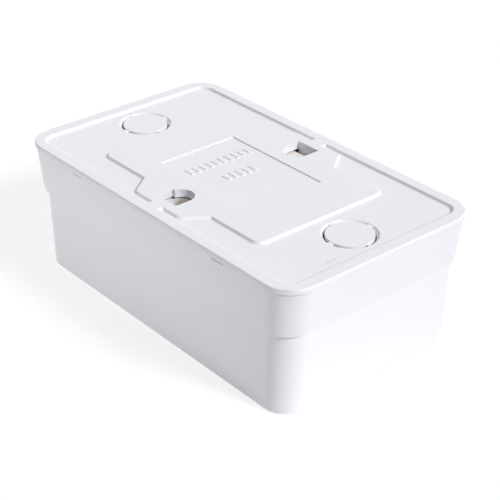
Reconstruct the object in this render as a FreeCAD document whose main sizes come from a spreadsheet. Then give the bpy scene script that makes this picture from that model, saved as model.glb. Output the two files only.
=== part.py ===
"""Two-gang surface mounted socket, earthed type F, lying face down.

Millimetres. X runs along the length, Y across it and +Z from the front face to the wall plate.
The origin is the middle of the front face, which is the face that the socket rests on here.
"""
import FreeCAD, Part
import math
import os
import re

import Sketcher

os.makedirs("parts", exist_ok=True)
doc = FreeCAD.newDocument("surface_mounted_socket")
sheet = doc.addObject("Spreadsheet::Sheet", "Sizes")
pieces = []

SIZES = {
    # Whole body: the flange of the back plate gives the length and the width
    "body_length": 150.0,
    "body_width": 87.5,
    "body_height": 51.5,
    # Back plate: flange, raised rim and sunk panel
    "flange_thickness": 2.0,
    "flange_corner": 11.0,
    "flange_edge": 0.5,
    "rim_end_width": 5.0,
    "rim_side_width": 4.3,
    "rim_height": 1.0,
    "rim_corner": 5.0,
    "slope_angle": 31.0,
    "panel_thickness": 2.2,
    # Back plate: raised middle with an ear on each long side, and its label field
    "plateau_length": 87.4,
    "plateau_corner": 3.5,
    "ear_root_length": 38.0,
    "ear_tip_length": 25.0,
    "ear_reach": 8.7,
    "ear_gap": 2.25,
    "bridge_width": 6.0,
    "label_end_margin": 19.2,
    "label_side_margin": 11.5,
    "label_depth": 0.45,
    "gauge_height": 0.3,
    "gauge_row_spacing": 12.0,
    "gauge_pitch": 3.0,
    "gauge_bar_width": 1.2,
    "gauge_bar_length": 4.5,
    # Back plate: D-shaped windows for the wall screws, each with a guard tab at its straight edge
    "window_width": 11.0,
    "window_length": 10.8,
    "tab_depth": 7.0,
    "tab_thickness": 1.5,
    # Back plate: cable knockouts, each a disc held by four thin webs
    "knockout_spacing": 114.0,
    "knockout_diameter": 17.0,
    "knockout_slot": 1.3,
    "web_width": 1.6,
    "web_thickness": 0.9,
    "web_setback": 0.2,
    # Back plate: locating lip, snap tabs and screw bosses
    "lip_depth": 4.0,
    "lip_thickness": 1.6,
    "lip_clearance": 0.15,
    "snap_spacing": 80.0,
    "snap_width": 5.0,
    "snap_height": 0.9,
    "snap_clearance": 0.25,
    "boss_diameter": 7.0,
    # Wall frame: the upper wall section, from the seam under the flange to the shoulder
    "seam_gap": 0.3,
    "shoulder_height": 32.1,
    "frame_overhang_end": 0.8,
    "frame_overhang_side": 0.3,
    "frame_draft_end": 1.7,
    "frame_draft_side": 1.15,
    "frame_corner": 10.5,
    "frame_wall": 2.2,
    # Front cover: the lower wall section, the face and the tongue that enters the wall frame
    "shoulder_step": 1.25,
    "cover_draft_end": 1.0,
    "cover_draft_side": 0.2,
    "cover_corner": 9.5,
    "cover_wall": 2.2,
    "face_thickness": 2.5,
    "face_edge": 0.8,
    "tongue_height": 4.0,
    # Outlet wells, to the type F pattern
    "outlet_spacing": 71.0,
    "well_diameter": 39.5,
    "well_depth": 17.5,
    "well_wall": 1.8,
    "well_floor": 2.2,
    "insert_flange_reach": 1.5,
    "insert_flange_thickness": 1.2,
    "insert_clearance": 0.15,
    "pin_spacing": 19.0,
    "pin_hole_diameter": 5.4,
    "guide_width": 4.6,
    "guide_reach": 1.8,
    "guide_root": 0.9,
    "guide_setback": 4.0,
    # Contact base: cream moulding behind the wells
    "base_gap": 0.3,
    "base_length": 106.0,
    "base_width": 41.6,
    "wiring_gap": 7.4,
    "chamber_diameter": 8.6,
    "slot_clearance": 0.2,
    "tower_length": 16.0,
    "tower_side_gap": 5.35,
    "tower_window_gap": 0.3,
    "tower_rebate_width": 1.2,
    "tower_rebate_depth": 2.0,
    "tower_gap": 0.7,
    "tower_floor": 3.0,
    "wall_screw_inset": 4.5,
    "wall_screw_hole": 4.5,
    "wall_screw_head": 7.6,
    "tube_diameter": 11.6,
    "tube_depth": 6.6,
    "relief_width": 4.2,
    "relief_wall": 1.8,
    # Brass strips with rolled pin contacts
    "strip_thickness": 1.2,
    "strip_width": 5.0,
    "strip_offset": 10.0,
    "contact_bore": 4.7,
    "contact_outer": 6.6,
    "strip_cover": 3.2,
    "contact_slit": 1.2,
    "contact_gap": 0.5,
    # Terminals
    "terminal_length": 8.0,
    "terminal_height": 8.0,
    "wire_hole": 3.6,
    "terminal_screw_diameter": 3.5,
    "terminal_head_diameter": 5.4,
    "terminal_head_height": 2.2,
    # Earth contacts
    "earth_strip_thickness": 1.0,
    "earth_clip_width": 5.6,
    "earth_clip_span": 36.0,
    "earth_tip_height": 5.0,
    "earth_contact_height": 10.5,
    "earth_bend_height": 19.0,
    "earth_tip_flare": 1.4,
    "earth_link_width": 7.0,
    "rivet_diameter": 3.0,
    "rivet_head_diameter": 5.0,
    "rivet_head_height": 1.0,
    # Shutters that turn to open the pin holes
    "shutter_pocket_depth": 3.0,
    "shutter_gap": 0.3,
    "shutter_radius": 13.5,
    "shutter_travel": 42.0,
    "shutter_stop_angle": 1.5,
    "shutter_side_gap": 0.5,
    "hub_diameter": 12.0,
    "pivot_diameter": 8.0,
    "pivot_clearance": 0.05,
    "spring_wire": 0.6,
    "spring_radius": 5.05,
    "spring_turns": 3.0,
    "spring_pitch": 0.75,
    "spring_leg": 1.6,
    "spring_leg_offset": 0.24,
    # Screws
    "cover_screw_head": 7.0,
    "cover_screw_diameter": 2.8,
    "cover_screw_length": 12.0,
    "base_screw_span_long": 98.0,
    "base_screw_span_short": 33.0,
    "base_screw_diameter": 3.0,
    "base_screw_length": 12.0,
    "base_screw_head": 5.8,
    "base_screw_head_height": 2.2,
    "base_screw_floor": 6.0,
    "head_clearance": 0.4,
    "screw_slot_width": 0.9,
    "screw_slot_depth": 0.8,
}

for row, (size_name, size_value) in enumerate(SIZES.items(), start=1):
    sheet.set(f"A{row}", size_name)
    sheet.set(f"B{row}", str(size_value))
    sheet.setAlias(f"B{row}", size_name)
doc.recompute()


def formula(text):
    """Write a formula out in full, with the sheet named before each of its sizes."""
    return re.sub(r"[a-z_]+", lambda word: named(word.group()), text)


def named(word):
    return "Sizes." + word if word in SIZES else word


def number(text):
    """The value of a formula in millimetres or degrees."""
    return float(sheet.evalExpression(formula(text)))


def bind(target, **properties):
    """Bind an object's properties to formulas."""
    for name, text in properties.items():
        target.setExpression(name, formula(text))


def place(target, x, y, z):
    """Bind an object's position to formulas."""
    for axis, text in zip("xyz", (x, y, z)):
        target.setExpression("Placement.Base." + axis, formula(text))


# Levels and outlines that several pieces share
FLANGE_UNDERSIDE = "(body_height - flange_thickness)"
PANEL_TOP = "(body_height - rim_height)"
PANEL_UNDERSIDE = "(body_height - rim_height - panel_thickness)"
FRAME_TOP = "(body_height - flange_thickness - seam_gap)"
FRAME_TOP_LENGTH = "(body_length - 2 * frame_overhang_end)"
FRAME_TOP_WIDTH = "(body_width - 2 * frame_overhang_side)"
SHOULDER_LENGTH = "(body_length - 2 * frame_overhang_end - 2 * frame_draft_end)"
SHOULDER_WIDTH = "(body_width - 2 * frame_overhang_side - 2 * frame_draft_side)"
FRAME_BORE_LENGTH = f"({SHOULDER_LENGTH} - 2 * frame_wall)"
FRAME_BORE_WIDTH = f"({SHOULDER_WIDTH} - 2 * frame_wall)"
FRAME_BORE_CORNER = "(frame_corner - frame_wall)"
PLUG_LENGTH = f"({FRAME_BORE_LENGTH} - 2 * lip_clearance)"
PLUG_WIDTH = f"({FRAME_BORE_WIDTH} - 2 * lip_clearance)"
PLUG_CORNER = f"({FRAME_BORE_CORNER} - lip_clearance)"
COVER_TOP_LENGTH = f"({SHOULDER_LENGTH} - 2 * shoulder_step)"
COVER_TOP_WIDTH = f"({SHOULDER_WIDTH} - 2 * shoulder_step)"
FACE_LENGTH = f"({COVER_TOP_LENGTH} - 2 * cover_draft_end)"
FACE_WIDTH = f"({COVER_TOP_WIDTH} - 2 * cover_draft_side)"
WELL_BACK = "(well_depth + well_floor)"
WELL_OUTSIDE = "(well_diameter + 2 * well_wall)"
BASE_FRONT = f"({WELL_BACK} + base_gap)"
BASE_BACK = "(body_height - rim_height - panel_thickness - wiring_gap)"
POCKET_FLOOR = f"({BASE_FRONT} + shutter_pocket_depth)"
TOWER_TOP = f"({PANEL_UNDERSIDE} - tower_gap)"
TOWER_REACH = f"({PLUG_WIDTH} / 2 - lip_thickness - tower_side_gap)"
WALL_SCREW_REACH = f"({TOWER_REACH} - wall_screw_inset)"
WINDOW_FLAT = f"({TOWER_REACH} + tower_window_gap)"
WINDOW_CENTRE = f"({WINDOW_FLAT} - window_length + window_width / 2)"
EAR_END = "(body_width / 2 - rim_side_width - ear_gap)"
PLATEAU_WIDTH = f"(2 * ({EAR_END} - ear_reach))"
LABEL_LENGTH = "(plateau_length - 2 * label_end_margin)"
LABEL_WIDTH = f"({PLATEAU_WIDTH} - 2 * label_side_margin)"
STRIP_BACK = f"({BASE_BACK} - strip_cover)"
STRIP_FRONT = f"({STRIP_BACK} - strip_thickness)"
CONTACT_FRONT = f"({POCKET_FLOOR} + contact_gap)"
EARTH_TOP = f"({BASE_BACK} + earth_strip_thickness)"
LINK_TOP = f"({EARTH_TOP} + earth_strip_thickness)"
CLIP_INSIDE = "(base_width / 2 + slot_clearance)"
SPRING_HEIGHT = "(spring_turns * spring_pitch)"
SPRING_TOP = f"({POCKET_FLOOR} + spring_wire)"
SPRING_BOTTOM = f"({SPRING_TOP} + {SPRING_HEIGHT})"
SPRING_FLOOR = f"({SPRING_BOTTOM} + spring_wire / 2)"
SHUTTER_FRONT = f"({WELL_BACK} + shutter_gap)"
SHUTTER_BACK = f"({POCKET_FLOOR} - shutter_gap)"
BASE_SCREW_SEAT = f"({BASE_BACK} - base_screw_floor)"
OUTLETS = {"left": "(-outlet_spacing / 2)", "right": "(outlet_spacing / 2)"}
SIDES = (-1, 1)


def block(name, length, width, bottom, top, x="0", y="0"):
    """An upright box, centred on x and y, from one level to another."""
    piece = doc.addObject("Part::Box", name)
    bind(piece, Length=length, Width=width, Height=f"({top}) - ({bottom})")
    place(piece, f"{x} - ({length}) / 2", f"{y} - ({width}) / 2", bottom)
    return piece


def rod(name, diameter, bottom, top, x="0", y="0"):
    """An upright cylinder from one level to another."""
    piece = doc.addObject("Part::Cylinder", name)
    bind(piece, Radius=f"({diameter}) / 2", Height=f"({top}) - ({bottom})")
    place(piece, x, y, bottom)
    return piece


def cone(name, low_diameter, high_diameter, bottom, top, x="0", y="0"):
    """An upright cone from one level to another."""
    piece = doc.addObject("Part::Cone", name)
    bind(piece, Radius1=f"({low_diameter}) / 2", Radius2=f"({high_diameter}) / 2")
    bind(piece, Height=f"({top}) - ({bottom})")
    place(piece, x, y, bottom)
    return piece


def cross_hole(name, diameter, length, x, y, z):
    """A cylinder that lies along X, centred on x."""
    piece = doc.addObject("Part::Cylinder", name)
    piece.Placement = FreeCAD.Placement(FreeCAD.Vector(), FreeCAD.Rotation(FreeCAD.Vector(0, 1, 0), 90))
    bind(piece, Radius=f"({diameter}) / 2", Height=length)
    place(piece, f"{x} - ({length}) / 2", y, z)
    return piece


def sector(name, radius, start, sweep, bottom, top, x):
    """A slice of a disc, from a start angle in degrees over a sweep."""
    piece = doc.addObject("Part::Cylinder", name)
    turn = FreeCAD.Rotation(FreeCAD.Vector(0, 0, 1), number(start))
    piece.Placement = FreeCAD.Placement(FreeCAD.Vector(), turn)
    bind(piece, Radius=radius, Height=f"({top}) - ({bottom})", Angle=sweep)
    place(piece, x, "0", bottom)
    return piece


def joined(name, parts):
    """Several solids made one."""
    if len(parts) == 1:
        return parts[0]
    union = doc.addObject("Part::MultiFuse", name)
    union.Shapes = parts
    union.Refine = True
    return union


def less(name, base, tools):
    """A solid with several tools cut away from it."""
    result = doc.addObject("Part::Cut", name)
    result.Base = base
    result.Tool = joined(name + "_cutters", tools)
    result.Refine = True
    return result


def finished(target, label):
    """Name a finished sub-part and keep it for the files."""
    target.Label = label
    pieces.append(target)
    return target


def new_body(name):
    return doc.addObject("PartDesign::Body", name)


def new_sketch(body, name, level="0", role="XY_Plane"):
    """An empty sketch on one of the body's own planes, raised to a level."""
    sketch = body.newObject("Sketcher::SketchObject", name)
    plane = next(item for item in body.Origin.OriginFeatures if item.Role == role)
    sketch.AttachmentSupport = [(plane, "")]
    sketch.MapMode = "FlatFace"
    sketch.setExpression("AttachmentOffset.Base.z", formula(level))
    return sketch


def tie(sketch, kind, *references, value):
    """Add a dimension to a sketch and bind it to a formula."""
    index = sketch.addConstraint(Sketcher.Constraint(kind, *references, number(value)))
    sketch.setExpression(f"Constraints[{index}]", formula(value))


def pin_point(sketch, line, end, x, y):
    """Fix one end of a line at x and y."""
    tie(sketch, "DistanceX", -1, 1, line, end, value=x)
    tie(sketch, "DistanceY", -1, 1, line, end, value=y)


def towards(start, finish):
    return (finish - start).normalize()


def corner_arc(point, before, after, radius):
    """The start, the finish and the arc of a rounded corner, and whether the outline turns left there."""
    back = towards(point, before)
    ahead = towards(point, after)
    opening = back.getAngle(ahead)
    reach = radius / math.tan(opening / 2)
    centre = point + (back + ahead).normalize() * (radius / math.sin(opening / 2))
    start = point + back * reach
    finish = point + ahead * reach
    turns_left = (point - before).cross(after - point).z > 0
    first, last = (start, finish) if turns_left else (finish, start)
    circle = Part.Circle(centre, FreeCAD.Vector(0, 0, 1), radius)
    arc = Part.ArcOfCircle(circle, angle_of(first - centre), angle_of(last - centre))
    return start, finish, arc, turns_left


def angle_of(vector):
    return math.atan2(vector.y, vector.x)


def outline(sketch, corners):
    """Draw a closed outline through corners of (x, y, radius), where a sharp corner has the radius None.

    A round corner lies between a level side and an upright one.
    """
    points = [FreeCAD.Vector(number(x), number(y), 0) for x, y, radius in corners]
    count = len(corners)
    rounds = {}
    for index, (x, y, radius) in enumerate(corners):
        if radius is not None:
            around = points[index - 1], points[(index + 1) % count]
            rounds[index] = corner_arc(points[index], *around, number(radius))
    lines = [outline_side(sketch, corners, points, rounds, index) for index in range(count)]
    for index, (x, y, radius) in enumerate(corners):
        before = lines[index - 1]
        after = lines[index]
        if index not in rounds:
            sketch.addConstraint(Sketcher.Constraint("Coincident", before, 2, after, 1))
            pin_point(sketch, after, 1, x, y)
            continue
        arc = sketch.addGeometry(rounds[index][2], False)
        first, last = (1, 2) if rounds[index][3] else (2, 1)
        sketch.addConstraint(Sketcher.Constraint("Tangent", before, 2, arc, first))
        sketch.addConstraint(Sketcher.Constraint("Tangent", arc, last, after, 1))
        tie(sketch, "Radius", arc, value=radius)


def outline_side(sketch, corners, points, rounds, index):
    """Draw the straight side that follows a corner of an outline."""
    following = (index + 1) % len(corners)
    start = rounds[index][1] if index in rounds else points[index]
    finish = rounds[following][0] if following in rounds else points[following]
    line = sketch.addGeometry(Part.LineSegment(start, finish), False)
    if index in rounds or following in rounds:
        level = abs(start.y - finish.y) < abs(start.x - finish.x)
        sketch.addConstraint(Sketcher.Constraint("Horizontal" if level else "Vertical", line))
        if index in rounds and following in rounds:
            kind, position = ("DistanceY", corners[index][1]) if level else ("DistanceX", corners[index][0])
            tie(sketch, kind, -1, 1, line, 1, value=position)
    return line


def rounded_rectangle(sketch, length, width, radius):
    """A rectangle round the origin, with a radius at its corners."""
    half_length = f"({length}) / 2"
    half_width = f"({width}) / 2"
    outline(sketch, [
        (f"-{half_length}", f"-{half_width}", radius),
        (half_length, f"-{half_width}", radius),
        (half_length, half_width, radius),
        (f"-{half_length}", half_width, radius),
    ])


def rectangle(sketch, length, width, x="0", y="0"):
    """A sharp rectangle round a point."""
    outline(sketch, [
        (f"{x} + {along} * ({length}) / 2", f"{y} + {across} * ({width}) / 2", None)
        for along, across in ((-1, -1), (1, -1), (1, 1), (-1, 1))
    ])


def circle(sketch, diameter, x="0", y="0"):
    """A circle about a point."""
    centre = FreeCAD.Vector(number(x), number(y), 0)
    curve = Part.Circle(centre, FreeCAD.Vector(0, 0, 1), number(diameter) / 2)
    index = sketch.addGeometry(curve, False)
    tie(sketch, "Diameter", index, value=diameter)
    pin_point(sketch, index, 3, x, y)


def window(sketch, side):
    """A D-shaped window on one side: straight towards the edge, half round towards the middle."""
    half = number("window_width / 2")
    level = side * number(WINDOW_CENTRE)
    flat = side * number(WINDOW_FLAT)
    start_angle = math.pi if side > 0 else 0
    bow = Part.Circle(FreeCAD.Vector(0, level, 0), FreeCAD.Vector(0, 0, 1), half)
    arc = sketch.addGeometry(Part.ArcOfCircle(bow, start_angle, start_angle + math.pi), False)
    corners = [(-half, level), (-half, flat), (half, flat), (half, level)]
    points = [FreeCAD.Vector(x, y, 0) for x, y in corners]
    left, top, right = [
        sketch.addGeometry(Part.LineSegment(*pair), False) for pair in zip(points, points[1:])
    ]
    arc_left, arc_right = (1, 2) if side > 0 else (2, 1)
    for constraint in (
        ("Tangent", left, 1, arc, arc_left),
        ("Tangent", right, 2, arc, arc_right),
        ("Coincident", left, 2, top, 1),
        ("Coincident", top, 2, right, 1),
        ("Horizontal", top),
        ("Vertical", left),
        ("PointOnObject", arc, 3, -2),
    ):
        sketch.addConstraint(Sketcher.Constraint(*constraint))
    tie(sketch, "Radius", arc, value="window_width / 2")
    tie(sketch, "DistanceY", -1, 1, arc, 3, value=f"{side} * {WINDOW_CENTRE}")
    tie(sketch, "DistanceY", -1, 1, top, 1, value=f"{side} * {WINDOW_FLAT}")


def pad(body, sketch, length, downward=False):
    """Build a sketch up, or down, by a length."""
    feature = body.newObject("PartDesign::Pad", sketch.Name + "_pad")
    feature.Profile = sketch
    bind(feature, Length=length)
    feature.Reversed = downward
    return feature


def pocket(body, sketch, depth, upward=False):
    """Cut a sketch down, or up, by a depth."""
    feature = body.newObject("PartDesign::Pocket", sketch.Name + "_pocket")
    feature.Profile = sketch
    bind(feature, Length=depth)
    feature.Reversed = upward
    return feature


def loft(body, low, *higher):
    """Join outlines at two or more levels into one drafted block."""
    feature = body.newObject("PartDesign::AdditiveLoft", low.Name + "_loft")
    feature.Profile = low
    feature.Sections = list(higher)
    feature.Ruled = True
    return feature


def round_edges(body, feature, level, radius):
    """Round the edges of the solid that lie at one level."""
    doc.recompute()
    height = number(level)
    edges = [
        f"Edge{index}"
        for index, edge in enumerate(feature.Shape.Edges, start=1)
        if abs(edge.BoundBox.ZMin - height) < 1e-6 and abs(edge.BoundBox.ZMax - height) < 1e-6
    ]
    fillet = body.newObject("PartDesign::Fillet", feature.Name + "_edge")
    fillet.Base = (feature, edges)
    bind(fillet, Radius=radius)
    doc.recompute()
    return fillet


def back_plate():
    """The rear moulding that lies on the wall."""
    body = new_body("back_plate_moulding")
    flange = new_sketch(body, "flange", FLANGE_UNDERSIDE)
    rounded_rectangle(flange, "body_length", "body_width", "flange_corner")
    flange_pad = pad(body, flange, "flange_thickness")
    round_edges(body, flange_pad, "body_height", "flange_edge")

    lip = new_sketch(body, "lip", FLANGE_UNDERSIDE)
    rounded_rectangle(lip, PLUG_LENGTH, PLUG_WIDTH, PLUG_CORNER)
    pad(body, lip, "lip_depth", downward=True)
    hollow = new_sketch(body, "lip_hollow", f"{FLANGE_UNDERSIDE} - lip_depth")
    rounded_rectangle(
        hollow,
        f"{PLUG_LENGTH} - 2 * lip_thickness",
        f"{PLUG_WIDTH} - 2 * lip_thickness",
        f"{PLUG_CORNER} - lip_thickness",
    )
    pocket(body, hollow, f"{PANEL_UNDERSIDE} - {FLANGE_UNDERSIDE} + lip_depth", upward=True)

    for side, name in zip(SIDES, ("left", "right")):
        sunk = new_sketch(body, f"sunk_panel_{name}", "body_height")
        sunk_panel_outline(sunk, side)
        recess = pocket(body, sunk, "rim_height")
        bind(recess, TaperAngle="-slope_angle")

    label = new_sketch(body, "label_field", "body_height")
    rectangle(label, LABEL_LENGTH, LABEL_WIDTH)
    pocket(body, label, "label_depth")
    gauge = new_sketch(body, "strip_gauge", "body_height - label_depth")
    for x, bars in (("-gauge_row_spacing", 10), ("0", 5)):
        for bar in range(bars):
            y = f"{bar - (bars - 1) / 2} * gauge_pitch"
            rectangle(gauge, "gauge_bar_length", "gauge_bar_width", x, y)
    pad(body, gauge, "gauge_height")

    windows = new_sketch(body, "wall_screw_windows", "body_height")
    for side in SIDES:
        window(windows, side)
    pocket(body, windows, "rim_height + panel_thickness")

    rings = []
    for name, x in (("left", "(-knockout_spacing / 2)"), ("right", "(knockout_spacing / 2)")):
        rings.append(knockout_ring(name, x))
    holed = less("back_plate_holed", body, rings)

    added = [holed]
    for number_of_boss, (x, y) in enumerate(base_screw_places(), start=1):
        boss = rod(f"boss_{number_of_boss}", "boss_diameter", BASE_BACK, PANEL_UNDERSIDE, x, y)
        tip = f"{BASE_SCREW_SEAT} + base_screw_length"
        bore = rod(f"boss_bore_{number_of_boss}", "base_screw_diameter", BASE_BACK, tip, x, y)
        added.append(less(f"boss_bored_{number_of_boss}", boss, [bore]))
    for side in SIDES:
        name = "front" if side < 0 else "rear"
        y = f"{side} * ({WINDOW_FLAT} + tab_thickness / 2)"
        tab_end = f"({PANEL_UNDERSIDE} - tab_depth)"
        tab = f"window_tab_{name}"
        added.append(block(tab, "window_width", "tab_thickness", tab_end, PANEL_UNDERSIDE, "0", y))
    for along in SIDES:
        for across in SIDES:
            added.append(snap_tab(f"snap_tab_{len(added)}", along, across))
    return finished(joined("back_plate_whole", added), "back_plate")


def sunk_panel_outline(sketch, side):
    """One half of the sunk panel: between the rim, the plateau, the ears and the bridges."""
    rim_x = f"{side} * (body_length / 2 - rim_end_width)"
    rim_y = "(body_width / 2 - rim_side_width)"
    plateau_x = f"{side} * plateau_length / 2"
    plateau_y = f"({PLATEAU_WIDTH} / 2)"
    bridge_x = f"{side} * bridge_width / 2"
    ear_tip_x = f"{side} * ear_tip_length / 2"
    ear_root_x = f"{side} * ear_root_length / 2"
    upper = [
        (rim_x, rim_y, "rim_corner"),
        (bridge_x, rim_y, None),
        (bridge_x, EAR_END, None),
        (ear_tip_x, EAR_END, None),
        (ear_root_x, plateau_y, None),
        (plateau_x, plateau_y, "plateau_corner"),
    ]
    lower = [(x, "-" + y, radius) for x, y, radius in reversed(upper)]
    outline(sketch, upper + lower)


def knockout_ring(name, x):
    """The slot round a knockout disc, broken by four webs."""
    outside = "knockout_diameter + 2 * knockout_slot"
    outer = rod(f"slot_outer_{name}", outside, PANEL_UNDERSIDE, PANEL_TOP, x)
    inner = rod(f"slot_inner_{name}", "knockout_diameter", PANEL_UNDERSIDE, PANEL_TOP, x)
    reach = "knockout_diameter + 4 * knockout_slot"
    web_top = f"({PANEL_TOP} - web_setback)"
    web_bottom = f"({web_top} - web_thickness)"
    along = block(f"web_along_{name}", reach, "web_width", web_bottom, web_top, x)
    across = block(f"web_across_{name}", "web_width", reach, web_bottom, web_top, x)
    return less(f"knockout_slot_{name}", outer, [inner, along, across])


def snap_tab(name, along, across, grow="0"):
    """A snap tab under the flange, over the wall frame's top edge."""
    middle = f"{along} * snap_spacing / 2"
    reach = f"({FRAME_TOP_WIDTH} / 2)"
    inside = f"({PLUG_WIDTH} / 2 - lip_thickness / 2)"
    low = f"({FRAME_TOP} - snap_height - {grow})"
    depth = f"{reach} - {inside} + {grow}"
    y = f"{across} * ({reach} + {inside} + {grow}) / 2"
    return block(name, f"snap_width + 2 * {grow}", depth, low, FLANGE_UNDERSIDE, middle, y)


def wall_frame():
    """The upper wall section, which the flange of the back plate closes."""
    body = new_body("wall_frame_moulding")
    low = new_sketch(body, "frame_low", "shoulder_height")
    rounded_rectangle(low, SHOULDER_LENGTH, SHOULDER_WIDTH, "frame_corner")
    high = new_sketch(body, "frame_high", FRAME_TOP)
    rounded_rectangle(high, FRAME_TOP_LENGTH, FRAME_TOP_WIDTH, "frame_corner")
    loft(body, low, high)
    bore = new_sketch(body, "frame_bore", FRAME_TOP)
    rounded_rectangle(bore, FRAME_BORE_LENGTH, FRAME_BORE_WIDTH, FRAME_BORE_CORNER)
    pocket(body, bore, f"{FRAME_TOP} - shoulder_height")
    notches = [
        snap_tab(f"notch_{along}_{across}".replace("-", "minus_"), along, across, "snap_clearance")
        for along in SIDES
        for across in SIDES
    ]
    return finished(less("wall_frame_notched", body, notches), "wall_frame")


def front_cover():
    """The lower wall section with the face, two round mouths and the tongue that enters the wall frame."""
    body = new_body("front_cover_moulding")
    face = new_sketch(body, "cover_face", "0")
    bevelled_length = f"{FACE_LENGTH} - 2 * face_edge"
    bevelled_width = f"{FACE_WIDTH} - 2 * face_edge"
    rounded_rectangle(face, bevelled_length, bevelled_width, "cover_corner - face_edge")
    low = new_sketch(body, "cover_low", "face_edge")
    rounded_rectangle(low, FACE_LENGTH, FACE_WIDTH, "cover_corner")
    high = new_sketch(body, "cover_shoulder", "shoulder_height")
    rounded_rectangle(high, COVER_TOP_LENGTH, COVER_TOP_WIDTH, "cover_corner")
    loft(body, face, low, high)
    tongue = new_sketch(body, "cover_tongue", "shoulder_height")
    rounded_rectangle(tongue, PLUG_LENGTH, PLUG_WIDTH, PLUG_CORNER)
    pad(body, tongue, "tongue_height")
    hollow = new_sketch(body, "cover_hollow", "shoulder_height + tongue_height")
    rounded_rectangle(
        hollow,
        f"{FACE_LENGTH} - 2 * cover_wall",
        f"{FACE_WIDTH} - 2 * cover_wall",
        "cover_corner - cover_wall",
    )
    pocket(body, hollow, "shoulder_height + tongue_height - face_thickness")
    mouths = new_sketch(body, "cover_mouths", "0")
    seats = new_sketch(body, "insert_seats", "0")
    mouth = f"{WELL_OUTSIDE} + 2 * insert_clearance"
    for x in OUTLETS.values():
        circle(mouths, mouth, x)
        circle(seats, f"{mouth} + 2 * insert_flange_reach", x)
    pocket(body, mouths, "face_thickness", upward=True)
    pocket(body, seats, "insert_flange_thickness", upward=True)
    return finished(body, "front_cover")


def outlet_insert(side, x):
    """The cup of one outlet: its flange, guides for the plug, pin holes and slots for the clips."""
    cup = rod(f"cup_{side}", WELL_OUTSIDE, "0", WELL_BACK, x)
    rim = f"{WELL_OUTSIDE} + 2 * insert_flange_reach"
    flange = rod(f"cup_flange_{side}", rim, "0", "insert_flange_thickness", x)
    bore = rod(f"cup_bore_{side}", "well_diameter", "0", "well_depth", x)
    parts = [less(f"cup_bored_{side}", joined(f"cup_flanged_{side}", [cup, flange]), [bore])]
    openings = []
    for end, where in zip(SIDES, ("inner", "outer")):
        name = f"{side}_{where}"
        middle = f"{x} + {end} * (well_diameter / 2 - guide_reach / 2 + guide_root / 2)"
        guide_size = ("guide_reach + guide_root", "guide_width", "guide_setback")
        parts.append(block(f"guide_{name}", *guide_size, "well_depth + well_floor / 2", middle))
        pin_x = f"{x} + {end} * pin_spacing / 2"
        openings.append(rod(f"pin_hole_{name}", "pin_hole_diameter", "well_depth", WELL_BACK, pin_x))
        slot_y = f"{end} * (earth_clip_span / 2 + {CLIP_INSIDE} + 2 * earth_strip_thickness) / 2"
        openings.append(block(
            f"clip_slot_{name}",
            "earth_clip_width + 4 * slot_clearance",
            f"{CLIP_INSIDE} + 2 * earth_strip_thickness - earth_clip_span / 2 + 2 * slot_clearance",
            "earth_tip_height - earth_tip_flare",
            WELL_BACK,
            x,
            slot_y,
        ))
    openings.append(cone(
        f"countersink_{side}", "cover_screw_head", "cover_screw_diameter", "well_depth", WELL_BACK, x
    ))
    whole = joined(f"cup_guided_{side}", parts)
    finished(less(f"cup_pierced_{side}", whole, openings), f"outlet_insert_{side}")


def strip_places(pole):
    """Where a pole's strip runs: its y and the two pin places, one at each outlet."""
    y = f"({pole} * strip_offset)"
    left_pin = f"({OUTLETS['left']} - {pole} * pin_spacing / 2)"
    right_pin = f"({OUTLETS['right']} - {pole} * pin_spacing / 2)"
    return y, left_pin, right_pin


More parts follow.
